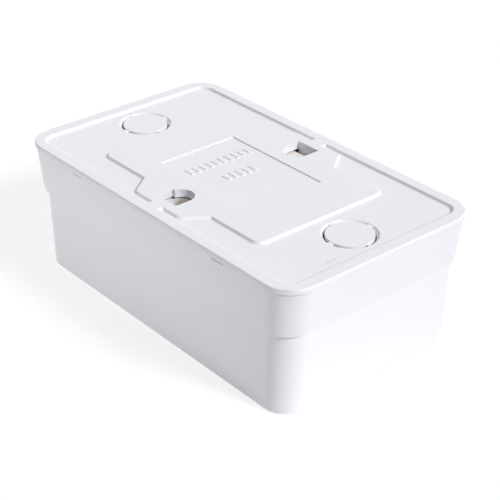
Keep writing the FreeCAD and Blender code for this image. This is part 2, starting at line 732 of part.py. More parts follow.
def contact_base():
    """The cream moulding that carries the metal parts and holds the shutters."""
    solid = [block("base_block", "base_length", "base_width", BASE_FRONT, BASE_BACK)]
    tower_bottom = f"({BASE_BACK} - tower_floor)"
    for side in SIDES:
        name = "front" if side < 0 else "rear"
        width = f"({TOWER_REACH} - base_width / 2 + tower_floor)"
        middle = f"{side} * ({TOWER_REACH} - {width} / 2)"
        solid.append(block(f"tower_{name}", "tower_length", width, tower_bottom, TOWER_TOP, "0", middle))

    cuts = []
    for pole, name in ((1, "live"), (-1, "neutral")):
        y, left_pin, right_pin = strip_places(pole)
        room = "(strip_width + 2 * slot_clearance)"
        run = f"({right_pin} - {left_pin} + {room})"
        middle = f"({right_pin} + {left_pin}) / 2"
        cuts.append(block(f"groove_{name}", run, room, BASE_FRONT, STRIP_BACK, middle, y))
        for pin, where in ((left_pin, "left"), (right_pin, "right")):
            arm = f"(strip_offset + {room} / 2)"
            arm_y = f"{pole} * {arm} / 2"
            cuts.append(block(f"arm_{name}_{where}", room, arm, BASE_FRONT, STRIP_BACK, pin, arm_y))
            chamber = f"chamber_{name}_{where}"
            cuts.append(rod(chamber, "chamber_diameter", POCKET_FLOOR, STRIP_BACK, pin))
        cuts.append(terminal_room(name, STRIP_FRONT, y))
    cuts.append(terminal_room("earth", BASE_BACK, "0"))

    pivots = []
    for side, x in OUTLETS.items():
        pocket_radius = "(shutter_radius + shutter_side_gap)"
        hub_room = "hub_diameter + 2 * shutter_side_gap"
        cuts.append(rod(f"hub_room_{side}", hub_room, BASE_FRONT, POCKET_FLOOR, x))
        for half_turn in (0, 180):
            start = f"{half_turn} - shutter_travel / 2 - shutter_stop_angle"
            sweep = "2 * shutter_travel + 2 * shutter_stop_angle"
            room = f"blade_room_{side}_{half_turn}"
            cuts.append(sector(room, pocket_radius, start, sweep, BASE_FRONT, POCKET_FLOOR, x))
        spring_room = "2 * (spring_radius + spring_wire / 2 + shutter_side_gap)"
        cuts.append(rod(f"spring_room_{side}", spring_room, POCKET_FLOOR, SPRING_FLOOR, x))
        leg_room = "2 * spring_wire"
        leg_end = f"{SPRING_FLOOR} + spring_leg"
        cuts.append(rod(f"leg_room_{side}", leg_room, SPRING_FLOOR, leg_end, x, "spring_radius"))
        pivot = rod(f"pivot_{side}", "pivot_diameter", SHUTTER_FRONT, SPRING_FLOOR, x)
        bore_end = f"({WELL_BACK} + cover_screw_length)"
        pivot_bore = rod(f"pivot_bore_{side}", "cover_screw_diameter", SHUTTER_FRONT, SPRING_FLOOR, x)
        pivots.append(less(f"pivot_bored_{side}", pivot, [pivot_bore]))
        cuts.append(rod(f"cover_screw_bore_{side}", "cover_screw_diameter", SPRING_FLOOR, bore_end, x))

    for index, (x, y) in enumerate(base_screw_places(), start=1):
        head_room = "base_screw_head + 2 * head_clearance"
        cuts.append(rod(f"head_room_{index}", head_room, BASE_FRONT, BASE_SCREW_SEAT, x, y))
        cuts.append(rod(f"screw_room_{index}", "base_screw_diameter", BASE_SCREW_SEAT, BASE_BACK, x, y))

    for side in SIDES:
        length = "base_screw_span_long - 3 * base_screw_head"
        y = f"{side} * (base_width / 2 - relief_wall - relief_width / 2)"
        name = "front" if side < 0 else "rear"
        cuts.append(block(f"relief_{name}", length, "relief_width", BASE_FRONT, tower_bottom, "0", y))
        edge = f"{side} * ({TOWER_REACH} - tower_rebate_width / 2)"
        rebate_floor = f"({TOWER_TOP} - tower_rebate_depth)"
        rebate_size = ("tower_length", "tower_rebate_width", rebate_floor, TOWER_TOP)
        cuts.append(block(f"rebate_{name}", *rebate_size, "0", edge))

    rear_hole_y = WALL_SCREW_REACH
    front_hole_y = f"(-{WALL_SCREW_REACH})"
    rear_seat = f"({TOWER_TOP} - tower_floor)"
    front_floor = f"({TOWER_TOP} - tube_depth)"
    front_seat = f"({front_floor} - tower_floor)"
    cuts.append(rod("wall_screw_rear", "wall_screw_hole", rear_seat, TOWER_TOP, "0", rear_hole_y))
    cuts.append(rod("wall_head_rear", "wall_screw_head", tower_bottom, rear_seat, "0", rear_hole_y))
    cuts.append(rod("wall_screw_front", "wall_screw_hole", front_seat, front_floor, "0", front_hole_y))
    cuts.append(rod("wall_tube_front", "tube_diameter", front_floor, TOWER_TOP, "0", front_hole_y))
    hollowed = less("contact_base_hollowed", joined("contact_base_solid", solid), cuts)
    return finished(joined("contact_base_whole", [hollowed] + pivots), "contact_base")


def terminal_room(name, top, y):
    """The room in the base for a terminal block."""
    length = "(terminal_length + 2 * slot_clearance)"
    return block(f"terminal_room_{name}", length, length, BASE_FRONT, top, "0", y)


def contact_strip(pole, name):
    """A stamped strip with a rolled, slit pin contact at each outlet."""
    y, left_pin, right_pin = strip_places(pole)
    run = f"({right_pin} - {left_pin} + strip_width)"
    middle = f"({right_pin} + {left_pin}) / 2"
    parts = [block(f"{name}_run", run, "strip_width", STRIP_FRONT, STRIP_BACK, middle, y)]
    bores = []
    for pin, where in ((left_pin, "left"), (right_pin, "right")):
        arm = "(strip_offset + strip_width / 2)"
        arm_y = f"{pole} * {arm} / 2"
        arm_name = f"{name}_arm_{where}"
        parts.append(block(arm_name, "strip_width", arm, STRIP_FRONT, STRIP_BACK, pin, arm_y))
        contact = f"{name}_contact_{where}"
        parts.append(rod(contact, "contact_outer", CONTACT_FRONT, STRIP_BACK, pin))
        bores.append(rod(f"{name}_bore_{where}", "contact_bore", CONTACT_FRONT, STRIP_FRONT, pin))
        slit_y = f"-{pole} * contact_outer / 2"
        slit = f"{name}_slit_{where}"
        slit_size = ("contact_slit", "contact_outer", CONTACT_FRONT, STRIP_FRONT)
        bores.append(block(slit, *slit_size, pin, slit_y))
    return finished(less(f"{name}_pierced", joined(f"{name}_whole", parts), bores), name)


def terminal(name, y, top):
    """A brass block with a wire hole along X, and the screw that clamps the wire from the front."""
    bottom = f"({top} - terminal_height)"
    wire_level = f"({bottom} + terminal_height / 2 + terminal_screw_diameter / 4)"
    screw_tip = f"({wire_level} - wire_hole / 4)"
    body = block(f"{name}_body", "terminal_length", "terminal_length", bottom, top, "0", y)
    wire = cross_hole(f"{name}_wire_hole", "wire_hole", "2 * terminal_length", "0", y, wire_level)
    thread = rod(f"{name}_thread", "terminal_screw_diameter", bottom, wire_level, "0", y)
    finished(less(f"{name}_drilled", body, [wire, thread]), f"terminal_block_{name}")
    head_bottom = f"({bottom} - terminal_head_height)"
    head = rod(f"{name}_screw_head", "terminal_head_diameter", head_bottom, bottom, "0", y)
    shank = rod(f"{name}_screw_shank", "terminal_screw_diameter", bottom, screw_tip, "0", y)
    slot_top = f"({head_bottom} + screw_slot_depth)"
    slot_name = f"{name}_screw_slot"
    slot = block(slot_name, "screw_slot_width", "terminal_head_diameter", head_bottom, slot_top, "0", y)
    whole = joined(f"{name}_screw_whole", [head, shank])
    finished(less(f"{name}_screw_slotted", whole, [slot]), f"terminal_screw_{name}")


def earth_clip(side, x):
    """A bent strip behind the base, with a sprung finger down each side of the well."""
    body = new_body(f"earth_clip_{side}_bent")
    profile = new_sketch(body, f"earth_profile_{side}", "0", "YZ_Plane")
    outside = f"({CLIP_INSIDE} + earth_strip_thickness)"
    peak = "(earth_clip_span / 2)"
    tip = "(earth_clip_span / 2 + earth_tip_flare)"
    half = [
        (outside, EARTH_TOP),
        (outside, "earth_bend_height"),
        (f"({peak} + earth_strip_thickness)", "earth_contact_height"),
        (f"({tip} + earth_strip_thickness)", "earth_tip_height"),
        (tip, "earth_tip_height"),
        (peak, "earth_contact_height"),
        (CLIP_INSIDE, "earth_bend_height"),
        (CLIP_INSIDE, BASE_BACK),
    ]
    mirrored = [("-" + y, z) for y, z in reversed(half)]
    outline(profile, [(y, z, None) for y, z in half + mirrored])
    arms = pad(body, profile, "earth_clip_width")
    arms.Midplane = True
    place(body, x, "0", "0")
    hole = rod(f"earth_clip_hole_{side}", "rivet_diameter", BASE_BACK, EARTH_TOP, x)
    finished(less(f"earth_clip_{side}_pierced", body, [hole]), f"earth_clip_{side}")


def earth_link():
    """The strip behind the base that joins the two earth clips."""
    length = "outlet_spacing + 2 * earth_link_width"
    strip = block("link_strip", length, "earth_link_width", EARTH_TOP, LINK_TOP)
    holes = [
        rod(f"link_hole_{side}", "rivet_diameter", EARTH_TOP, LINK_TOP, x) for side, x in OUTLETS.items()
    ]
    finished(less("link_pierced", strip, holes), "earth_link")
    for side, x in OUTLETS.items():
        shank = rod(f"rivet_shank_{side}", "rivet_diameter", BASE_BACK, LINK_TOP, x)
        head_top = f"({LINK_TOP} + rivet_head_height)"
        head = cone(f"rivet_head_{side}", "rivet_head_diameter", "rivet_diameter", LINK_TOP, head_top, x)
        finished(joined(f"rivet_{side}_whole", [shank, head]), f"earth_rivet_{side}")


def shutter(side, x):
    """A plate with two blades, which turns about the pivot to open both pin holes."""
    hub = rod(f"hub_{side}", "hub_diameter", SHUTTER_FRONT, SHUTTER_BACK, x)
    blades = [
        sector(
            f"blade_{side}_{half_turn}",
            "shutter_radius",
            f"{half_turn} - shutter_travel / 2",
            "shutter_travel",
            SHUTTER_FRONT,
            SHUTTER_BACK,
            x,
        )
        for half_turn in (0, 180)
    ]
    bore_diameter = "pivot_diameter + 2 * pivot_clearance"
    bore = rod(f"hub_bore_{side}", bore_diameter, SHUTTER_FRONT, SHUTTER_BACK, x)
    leg_name = f"hub_leg_room_{side}"
    leg_room = rod(leg_name, "2 * spring_wire", SHUTTER_FRONT, SHUTTER_BACK, x, "spring_radius")
    whole = joined(f"shutter_{side}_whole", [hub] + blades)
    finished(less(f"shutter_{side}_bored", whole, [bore, leg_room]), f"shutter_{side}")


def shutter_spring(side, x):
    """A coil round the pivot with a leg into the base and a leg into the shutter."""
    body = new_body(f"coil_{side}")
    section = new_sketch(body, f"coil_section_{side}", "0", "YZ_Plane")
    circle(section, "spring_wire", "spring_radius", SPRING_TOP)
    coil = body.newObject("PartDesign::AdditiveHelix", f"coil_turns_{side}")
    coil.Profile = section
    axis = next(item for item in body.Origin.OriginFeatures if item.Role == "Z_Axis")
    coil.ReferenceAxis = (axis, [""])
    coil.Mode = "pitch-turns-angle"
    bind(coil, Pitch="spring_pitch", Turns="spring_turns")
    place(body, x, "0", "0")
    for name, level, downward in (("shutter", SPRING_TOP, True), ("base", SPRING_BOTTOM, False)):
        leg = new_sketch(body, f"coil_leg_{name}_{side}", level)
        leg_x = "-spring_leg_offset" if downward else "spring_leg_offset"
        circle(leg, "spring_wire", leg_x, "spring_radius")
        pad(body, leg, "spring_leg", downward)
    finished(body, f"shutter_spring_{side}")


def cover_screw(side, x):
    """A countersunk screw in the middle of a well."""
    head_name = f"cover_head_{side}"
    head = cone(head_name, "cover_screw_head", "cover_screw_diameter", "well_depth", WELL_BACK, x)
    tip = f"({WELL_BACK} + cover_screw_length - head_clearance)"
    shank = rod(f"cover_shank_{side}", "cover_screw_diameter", WELL_BACK, tip, x)
    slot_top = "(well_depth + screw_slot_depth)"
    slot = block(f"cover_slot_{side}", "screw_slot_width", "cover_screw_head", "well_depth", slot_top, x)
    whole = joined(f"cover_screw_{side}_whole", [head, shank])
    finished(less(f"cover_screw_{side}_slotted", whole, [slot]), f"cover_screw_{side}")


def base_screw_places():
    """The four places of the screws through the base, in order round it."""
    return [
        (f"({along} * base_screw_span_long / 2)", f"({across} * base_screw_span_short / 2)")
        for along, across in ((-1, -1), (1, -1), (1, 1), (-1, 1))
    ]


def base_screw(index, x, y):
    """A pan-head screw from the front of the base into a boss of the back plate."""
    head_bottom = f"({BASE_SCREW_SEAT} - base_screw_head_height)"
    head = rod(f"base_head_{index}", "base_screw_head", head_bottom, BASE_SCREW_SEAT, x, y)
    tip = f"({BASE_SCREW_SEAT} + base_screw_length)"
    shank = rod(f"base_shank_{index}", "base_screw_diameter", BASE_SCREW_SEAT, tip, x, y)
    slot_top = f"({head_bottom} + screw_slot_depth)"
    slot = block(f"base_slot_{index}", "screw_slot_width", "base_screw_head", head_bottom, slot_top, x, y)
    whole = joined(f"base_screw_{index}_whole", [head, shank])
    finished(less(f"base_screw_{index}_slotted", whole, [slot]), f"base_screw_{index}")


def check_and_write():
    """Stop if any object failed, and write each finished sub-part to its own file."""
    doc.recompute()
    for item in doc.Objects:
        if "Invalid" in item.State or "Error" in item.State:
            raise RuntimeError(f"{item.Name} failed: {item.State}")
    for piece in pieces:
        if piece.Shape.isNull() or not piece.Shape.isValid():
            raise RuntimeError(f"{piece.Label} has no valid shape")
    for piece in pieces:
        piece.Shape.exportStep(f"parts/{piece.Label}.step")
        box = piece.Shape.BoundBox
        solids = len(piece.Shape.Solids)
        volume = piece.Shape.Volume
        print(f"{piece.Label}: {solids} solid, {volume:.1f} mm3, z {box.ZMin:.2f} to {box.ZMax:.2f}")


back_plate()
wall_frame()
front_cover()
for outlet, centre in OUTLETS.items():
    outlet_insert(outlet, centre)
contact_base()
contact_strip(1, "live_busbar")
contact_strip(-1, "neutral_busbar")
terminal("live", "strip_offset", STRIP_FRONT)
terminal("neutral", "(-strip_offset)", STRIP_FRONT)
terminal("earth", "0", EARTH_TOP)
for outlet, centre in OUTLETS.items():
    earth_clip(outlet, centre)
earth_link()
for outlet, centre in OUTLETS.items():
    shutter(outlet, centre)
    shutter_spring(outlet, centre)
    cover_screw(outlet, centre)
for place_number, (screw_x, screw_y) in enumerate(base_screw_places(), start=1):
    base_screw(place_number, screw_x, screw_y)
check_and_write()
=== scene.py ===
# %% [markdown]
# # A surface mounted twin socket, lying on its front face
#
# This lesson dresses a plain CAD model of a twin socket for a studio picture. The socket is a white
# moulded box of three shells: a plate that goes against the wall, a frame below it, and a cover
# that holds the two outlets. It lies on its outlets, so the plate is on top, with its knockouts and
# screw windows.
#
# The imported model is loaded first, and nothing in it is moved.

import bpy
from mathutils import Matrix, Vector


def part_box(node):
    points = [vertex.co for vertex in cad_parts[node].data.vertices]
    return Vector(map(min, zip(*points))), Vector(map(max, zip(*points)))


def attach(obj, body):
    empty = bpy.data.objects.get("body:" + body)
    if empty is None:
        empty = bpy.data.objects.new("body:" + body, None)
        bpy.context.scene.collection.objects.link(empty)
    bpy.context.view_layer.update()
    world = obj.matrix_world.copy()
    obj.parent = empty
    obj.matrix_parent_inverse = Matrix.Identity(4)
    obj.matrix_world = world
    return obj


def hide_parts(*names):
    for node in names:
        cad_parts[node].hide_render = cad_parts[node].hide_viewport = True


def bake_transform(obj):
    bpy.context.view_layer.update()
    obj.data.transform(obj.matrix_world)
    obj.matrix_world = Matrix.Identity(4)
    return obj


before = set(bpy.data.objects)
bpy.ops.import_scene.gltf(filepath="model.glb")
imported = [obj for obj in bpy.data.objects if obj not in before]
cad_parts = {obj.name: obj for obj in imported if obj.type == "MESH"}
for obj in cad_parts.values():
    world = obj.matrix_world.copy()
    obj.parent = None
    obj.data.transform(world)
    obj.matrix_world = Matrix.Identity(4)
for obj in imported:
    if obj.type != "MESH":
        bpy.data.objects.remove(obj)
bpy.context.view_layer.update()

# %% [markdown]
# ## Working in millimetres
#
# Blender counts in metres and a moulder in millimetres. A small function turns one into the other,
# so that every size below reads as it would on a drawing.

# %% Units
import bpy
import bmesh
from math import radians
from mathutils import Vector

MM = 0.001


def mm(*lengths):
    """Lengths in millimetres, given back in metres."""
    return tuple(length * MM for length in lengths)


print("One millimetre is", MM)

# %% [markdown]
# ## The camera
#
# The picture is taken from in front of one corner and about 30 degrees above the table, through a
# long lens. A long lens keeps the far edge of the plate nearly as long as the near one. The camera
# looks against the direction below, and a track quaternion turns it there without any tilt to the
# side.

# %% Camera
TOWARDS_CAMERA = Vector((0.6589, -0.5600, 0.5023))
CAMERA_PLACE = (0.3409, -0.2850, 0.2771)
FOCAL_PIXELS = 1382.8
PICTURE_PIXELS = 500
SENSOR_WIDTH = 36.0

bpy.ops.object.camera_add(location=CAMERA_PLACE)
camera = bpy.context.object
camera.name = "studio_camera"
camera.rotation_euler = TOWARDS_CAMERA.to_track_quat("Z", "Y").to_euler()
camera.data.sensor_width = SENSOR_WIDTH
camera.data.lens = FOCAL_PIXELS * SENSOR_WIDTH / PICTURE_PIXELS
bpy.context.scene.camera = camera
print("Lens:", round(camera.data.lens, 2), "mm")

# %% [markdown]
# ## Helpers for modelling by hand
#
# Each shell begins as a box, because a moulding with upright walls is closest to one. What makes it
# a moulding comes after: rounded corners, walls that lean so that they leave the mould, hollows and
# holes.
#
# An operator works on whatever is selected, and the loaded model starts out selected. So one helper
# deselects everything and takes up a single piece, and another opens edit mode and selects only the
# parts of the mesh that pass a test of their place.

# %% Taking up one piece
def take_up(piece):
    """Make one piece the only selected one, and the active one."""
    bpy.ops.object.select_all(action="DESELECT")
    piece.select_set(True)
    bpy.context.view_layer.objects.active = piece


def block(name, low, high):
    """A box between two corners in millimetres, with its place and size in its mesh."""
    size = [top - bottom for bottom, top in zip(low, high)]
    middle = [(top + bottom) / 2 for bottom, top in zip(low, high)]
    bpy.ops.object.select_all(action="DESELECT")
    bpy.ops.mesh.primitive_cube_add(size=1, location=mm(*middle), scale=mm(*size))
    return settle(name)


def drum(name, radius, low, high, x=0.0, y=0.0, sides=96):
    """An upright cylinder between two levels in millimetres."""
    bpy.ops.object.select_all(action="DESELECT")
    bpy.ops.mesh.primitive_cylinder_add(
        vertices=sides,
        radius=radius * MM,
        depth=(high - low) * MM,
        location=mm(x, y, (low + high) / 2),
    )
    return settle(name)


def settle(name):
    """Name the new primitive and put its place and size into its mesh."""
    piece = bpy.context.object
    piece.name = name
    take_up(piece)
    bpy.ops.object.transform_apply(location=True, rotation=True, scale=True)
    return piece


print("Primitives: block and drum")

# %% [markdown]
# ### Selecting by place
#
# A test is a small function that says yes or no to a point, an edge or a face. Places are compared
# in millimetres, with a little room for rounding.

# %% Selecting by place
CLOSE = 0.001


def open_and_pick(piece, kind, test):
    """Open edit mode with only the points, edges or faces selected that pass the test."""
    take_up(piece)
    bpy.ops.object.mode_set(mode="EDIT")
    bpy.ops.mesh.select_mode(type=kind)
    bpy.ops.mesh.select_all(action="DESELECT")
    mesh = bmesh.from_edit_mesh(piece.data)
    parts = {"VERT": mesh.verts, "EDGE": mesh.edges, "FACE": mesh.faces}[kind]
    for part in parts:
        if test(part):
            part.select_set(True)
    bmesh.update_edit_mesh(piece.data)


def open_whole(piece):
    """Open edit mode with all of the piece selected."""
    take_up(piece)
    bpy.ops.object.mode_set(mode="EDIT")
    bpy.ops.mesh.select_all(action="SELECT")


def close():
    """Leave edit mode."""
    bpy.ops.object.mode_set(mode="OBJECT")


def at_level(level):
    """A test for points at a height in millimetres."""
    return lambda point: abs(point.co.z / MM - level) < CLOSE


def edge_at_level(level):
    """A test for edges that lie at a height in millimetres."""
    return lambda edge: all(at_level(level)(point) for point in edge.verts)


def upright(edge):
    """A test for edges that stand upright."""
    first, second = (point.co for point in edge.verts)
    return (first - second).xy.length / MM < CLOSE


print("Places within", CLOSE, "mm of each other count as the same")

# %% [markdown]
# ### Rounded corners and leaning walls
#
# Beveling the four upright edges of a box with many segments gives the round corners. Scaling the
# points of one level about the middle makes the walls lean, which moulders call draft.

# %% Slab and draft
CORNER_STEPS = 14


def bevel_edges(piece, test, radius, steps):
    """Bevel the edges that pass the test, by a radius in millimetres."""
    open_and_pick(piece, "EDGE", test)
    bpy.ops.mesh.bevel(
        offset=radius * MM, segments=steps, affect="EDGES", clamp_overlap=False
    )
    close()


def slab(name, length, width, low, high, corner):
    """A box centred on the origin with round upright corners."""
    piece = block(name, (-length / 2, -width / 2, low), (length / 2, width / 2, high))
    bevel_edges(piece, upright, corner, CORNER_STEPS)
    return piece


def draft(piece, level, x_ratio, y_ratio, x=0.0, y=0.0):
    """Scale the points of one level about an upright axis, the middle unless it is given."""
    open_and_pick(piece, "VERT", at_level(level))
    bpy.ops.transform.resize(
        value=(x_ratio, y_ratio, 1), center_override=mm(x, y, level)
    )
    close()


print("Corners have", CORNER_STEPS, "steps")

# %% [markdown]
# ### Cutting and joining
#
# Hollows and holes are cut with Boolean modifiers, which are exact however the faces meet. Each
# cutter is a piece of its own that is used up by the cut. What repeats is modelled once and copied.

# %% Cutting and joining
def discard(piece):
    """Delete a piece that has done its work."""
    bpy.data.objects.remove(piece, do_unlink=True)


def combine(piece, tool, operation):
    """Apply one Boolean of a tool on a piece, and use the tool up."""
    change = piece.modifiers.new(operation.lower(), "BOOLEAN")
    change.operation = operation
    change.solver = "EXACT"
    change.object = tool
    take_up(piece)
    bpy.ops.object.modifier_apply(modifier=change.name)
    discard(tool)


def cut(piece, *tools):
    """Cut each tool away from a piece."""
    for tool in tools:
        combine(piece, tool, "DIFFERENCE")


def add(piece, *tools):
    """Join each tool to a piece."""
    for tool in tools:
        combine(piece, tool, "UNION")


def copy_moved(piece, name, x, y):
    """A copy with its own mesh, moved in millimetres with its place put into its mesh."""
    take_up(piece)
    bpy.ops.object.duplicate(linked=False)
    bpy.ops.transform.translate(value=mm(x, y, 0))
    return settle(name)


print("Booleans: cut and add")

# %% [markdown]
# ### Soft edges
#
# No moulded edge is sharp. A narrow bevel on every edge catches a thin line of light, as the real
# one does. Doubles are merged first. The weighted normals keep the wide flat faces flat beside it.

# %% Finishing a shell
MERGE_WITHIN = 0.004
FLAT_WITHIN = radians(0.3)
EDGE_STEPS = 2
EDGE_FROM = radians(28)
SMOOTH_UNDER = radians(32)


def finish(piece, edge):
    """Merge doubles, soften the edges, and shade the faces."""
    open_whole(piece)
    bpy.ops.mesh.remove_doubles(threshold=MERGE_WITHIN * MM)
    bpy.ops.mesh.dissolve_limited(angle_limit=FLAT_WITHIN)
    bpy.ops.mesh.select_all(action="SELECT")
    bpy.ops.mesh.normals_make_consistent(inside=False)
    close()
    soft = piece.modifiers.new("soft_edges", "BEVEL")
    soft.width = edge * MM
    soft.segments = EDGE_STEPS
    soft.limit_method = "ANGLE"
    soft.angle_limit = EDGE_FROM
    soft.use_clamp_overlap = False
    take_up(piece)
    bpy.ops.object.modifier_apply(modifier=soft.name)
    bpy.ops.object.shade_smooth_by_angle(angle=SMOOTH_UNDER)
    flat = piece.modifiers.new("flat_faces", "WEIGHTED_NORMAL")
    flat.keep_sharp = True
    bpy.ops.object.modifier_apply(modifier=flat.name)
    report(piece)


def report(piece):
    """Print a piece's size, how many open edges it has, and its volume."""
    mesh = bmesh.new()
    mesh.from_mesh(piece.data)
    loose = sum(1 for edge in mesh.edges if len(edge.link_faces) != 2)
    volume = mesh.calc_volume(signed=True) / MM**3
    mesh.free()
    size = [round(length / MM, 2) for length in piece.dimensions]
    faces = len(piece.data.polygons)
    print(piece.name, size, "mm,", faces, "faces,", loose, "open edges,", round(volume), "mm3")


print("Finishing: finish and report")

# %% [markdown]
# ## The rear plate
#
# The plate is what the picture shows from above. Its flange closes the box. Its middle is raised to
# the level of the rim and reaches out to the long sides in two ears, and the panel between is sunk
# 1 mm. It could be one mesh drawn face by face, but the outline of the sunk panel is easier to get
# right as one rounded pit less an island of simple parts.
#
# A piece that is added enters the other one by OVERLAP, and a cutter passes the face that it cuts
# by BEYOND, so that no two faces lie in one plane.

# %% Flange and lip
OVERLAP = 0.5
BEYOND = 1.0
PLATE_LENGTH = 150.0
PLATE_WIDTH = 87.5
PLATE_CORNER = 11.0
PLATE_TOP = 51.5
TOP_EDGE = 0.5
FLANGE_UNDERSIDE = 49.5
UNDERSIDE_EDGE = 0.25
PANEL_TOP = 50.5
PANEL_UNDERSIDE = 48.3
PLUG_SIZE = (140.3, 79.9)
PLUG_CORNER = 8.15
LIP_END = FLANGE_UNDERSIDE - 4.0
LIP_WALL = 1.6

rear_plate = slab(
    "rear_plate", PLATE_LENGTH, PLATE_WIDTH, FLANGE_UNDERSIDE, PLATE_TOP, PLATE_CORNER
)
bevel_edges(rear_plate, edge_at_level(PLATE_TOP), TOP_EDGE, 4)
bevel_edges(rear_plate, edge_at_level(FLANGE_UNDERSIDE), UNDERSIDE_EDGE, 3)
lip = slab("lip", *PLUG_SIZE, LIP_END, FLANGE_UNDERSIDE + OVERLAP, PLUG_CORNER)
lip_inside = [length - 2 * LIP_WALL for length in PLUG_SIZE]
lip_hollow = slab(
    "lip_hollow", *lip_inside, LIP_END - BEYOND, PANEL_UNDERSIDE, PLUG_CORNER - LIP_WALL
)
add(rear_plate, lip)
cut(rear_plate, lip_hollow)
report(rear_plate)

# %% [markdown]
# ### The sunk panel
#
# The pit and the island both lean, so that the wall of the pit is a slope that catches the light.
# The island is made 2 mm deep round the plate's top, and each of its levels is scaled from the
# level of the top.

# %% Pit
SLOPE = 0.6
PIT_LENGTH = 140.0
PIT_WIDTH = 78.9
PIT_CORNER = 5.0
ABOVE = PLATE_TOP + BEYOND


def lean(half, rise):
    """How much a half length grows for a rise below the top, as a ratio."""
    return (half + SLOPE * rise) / half


pit = slab("pit", PIT_LENGTH, PIT_WIDTH, PANEL_TOP, ABOVE, PIT_CORNER)
for level, rise in ((PANEL_TOP, -1), (ABOVE, 1)):
    draft(pit, level, lean(PIT_LENGTH / 2, rise), lean(PIT_WIDTH / 2, rise))
report(pit)

# %% [markdown]
# An ear is a block whose outer end is drawn in along X, so that its sides slant. A narrow bridge
# carries on from it to the rim.

# %% Ears and bridges
ISLAND_LOW = PANEL_TOP - OVERLAP
ISLAND_HIGH = ABOVE + OVERLAP
RISES = {ISLAND_LOW: PLATE_TOP - ISLAND_LOW, ISLAND_HIGH: PLATE_TOP - ISLAND_HIGH}
PLATEAU_LENGTH = 87.4
PLATEAU_WIDTH = 57.0
PLATEAU_CORNER = 3.5
EAR_ROOT = 19.0
EAR_TIP = 12.5
EAR_END = 37.2
EAR_START = 20.0
EAR_CORNER = 1.3
EAR_SLANT = (EAR_ROOT - EAR_TIP) / (EAR_END - PLATEAU_WIDTH / 2)
NEAR_TIP = 2.0
BRIDGE_HALF = 3.0
BRIDGE_START = EAR_START + 4
BRIDGE_END = PIT_WIDTH / 2 + 3


def ear_half(y, rise):
    """Half the length of an ear at a distance from the middle, for a rise below the top."""
    stretch = (1 + EAR_SLANT**2) ** 0.5
    return EAR_TIP + (EAR_END - y) * EAR_SLANT + SLOPE * rise * stretch


def corner_of(level, y):
    """A test for points at a height and a distance across, in millimetres."""
    return lambda point: at_level(level)(point) and abs(point.co.y / MM - y) < CLOSE


def tip_edge(edge):
    """A test for the two edges that rise at the outer end of an ear."""
    first, second = (point.co / MM for point in edge.verts)
    outermost = min(abs(first.y), abs(second.y)) > EAR_END - NEAR_TIP
    return abs(first.z - second.z) > 1 and outermost


def ear(side):
    """One ear of the raised middle, with leaning sides."""
    near, far = sorted((side * EAR_START, side * EAR_END))
    half = ear_half(EAR_START, 0)
    piece = block("ear", (-half, near, ISLAND_LOW), (half, far, ISLAND_HIGH))
    for level, rise in RISES.items():
        for y, grow in ((EAR_START, 0.0), (EAR_END, SLOPE * rise)):
            open_and_pick(piece, "VERT", corner_of(level, side * y))
            ratio = ear_half(y + grow, rise) / half
            bpy.ops.transform.resize(value=(ratio, 1, 1), center_override=(0, 0, 0))
            bpy.ops.transform.translate(value=mm(0, side * grow, 0))
            close()
    bevel_edges(piece, tip_edge, EAR_CORNER, 6)
    return piece


def bridge(side):
    """The bridge from an ear to the rim."""
    near, far = sorted((side * BRIDGE_START, side * BRIDGE_END))
    piece = block("bridge", (-BRIDGE_HALF, near, ISLAND_LOW), (BRIDGE_HALF, far, ISLAND_HIGH))
    for level, rise in RISES.items():
        draft(piece, level, lean(BRIDGE_HALF, rise), 1)
    return piece


print("An ear is", round(2 * EAR_ROOT, 1), "mm long at its root and", 2 * EAR_TIP, "at its tip")

# %% [markdown]
# The island is a slab with the ears and bridges joined to it. It is taken out of the pit, and what
# is left of the pit out of the plate.

# %% Island
island = slab("island", PLATEAU_LENGTH, PLATEAU_WIDTH, ISLAND_LOW, ISLAND_HIGH, PLATEAU_CORNER)
for level, rise in RISES.items():
    draft(island, level, lean(PLATEAU_LENGTH / 2, rise), lean(PLATEAU_WIDTH / 2, rise))
for side in (-1, 1):
    add(island, ear(side), bridge(side))
report(island)
cut(pit, island)
cut(rear_plate, pit)

# %% [markdown]
# The pit's top edge is rounded a little more than the other edges. The flange's own edge has the
# same height, so the test also asks for a place inside it.

# %% Edge of the pit
PIT_EDGE = 0.28
INSIDE_RIM = (73.0, 42.0)


def pit_edge(edge):
    """A test for the top edges of the pit, inside the flange's own edge."""
    points = [point.co / MM for point in edge.verts]
    inner = all(abs(point.x) < INSIDE_RIM[0] and abs(point.y) < INSIDE_RIM[1] for point in points)
    return inner and edge_at_level(PLATE_TOP)(edge)


bevel_edges(rear_plate, pit_edge, PIT_EDGE, 3)
report(rear_plate)

# %% [markdown]
# ### The label field
#
# The middle holds a shallow field. Such plates often carry a strip gauge there: raised bars that
# show how much of a wire's sleeve to take off. The field's cutter has the bars taken out of it, so
# they stay standing in the field. One bar is modelled, and the rest are copies that are joined to
# it.

# %% Label field and strip gauge
FIELD = (24.5, 17.0)
FIELD_FLOOR = PLATE_TOP - 0.45
BAR = (2.25, 0.6)
BAR_TOP = FIELD_FLOOR + 0.3
PITCH = 3.0
ROWS = ((-12.0, 10), (0.0, 5))

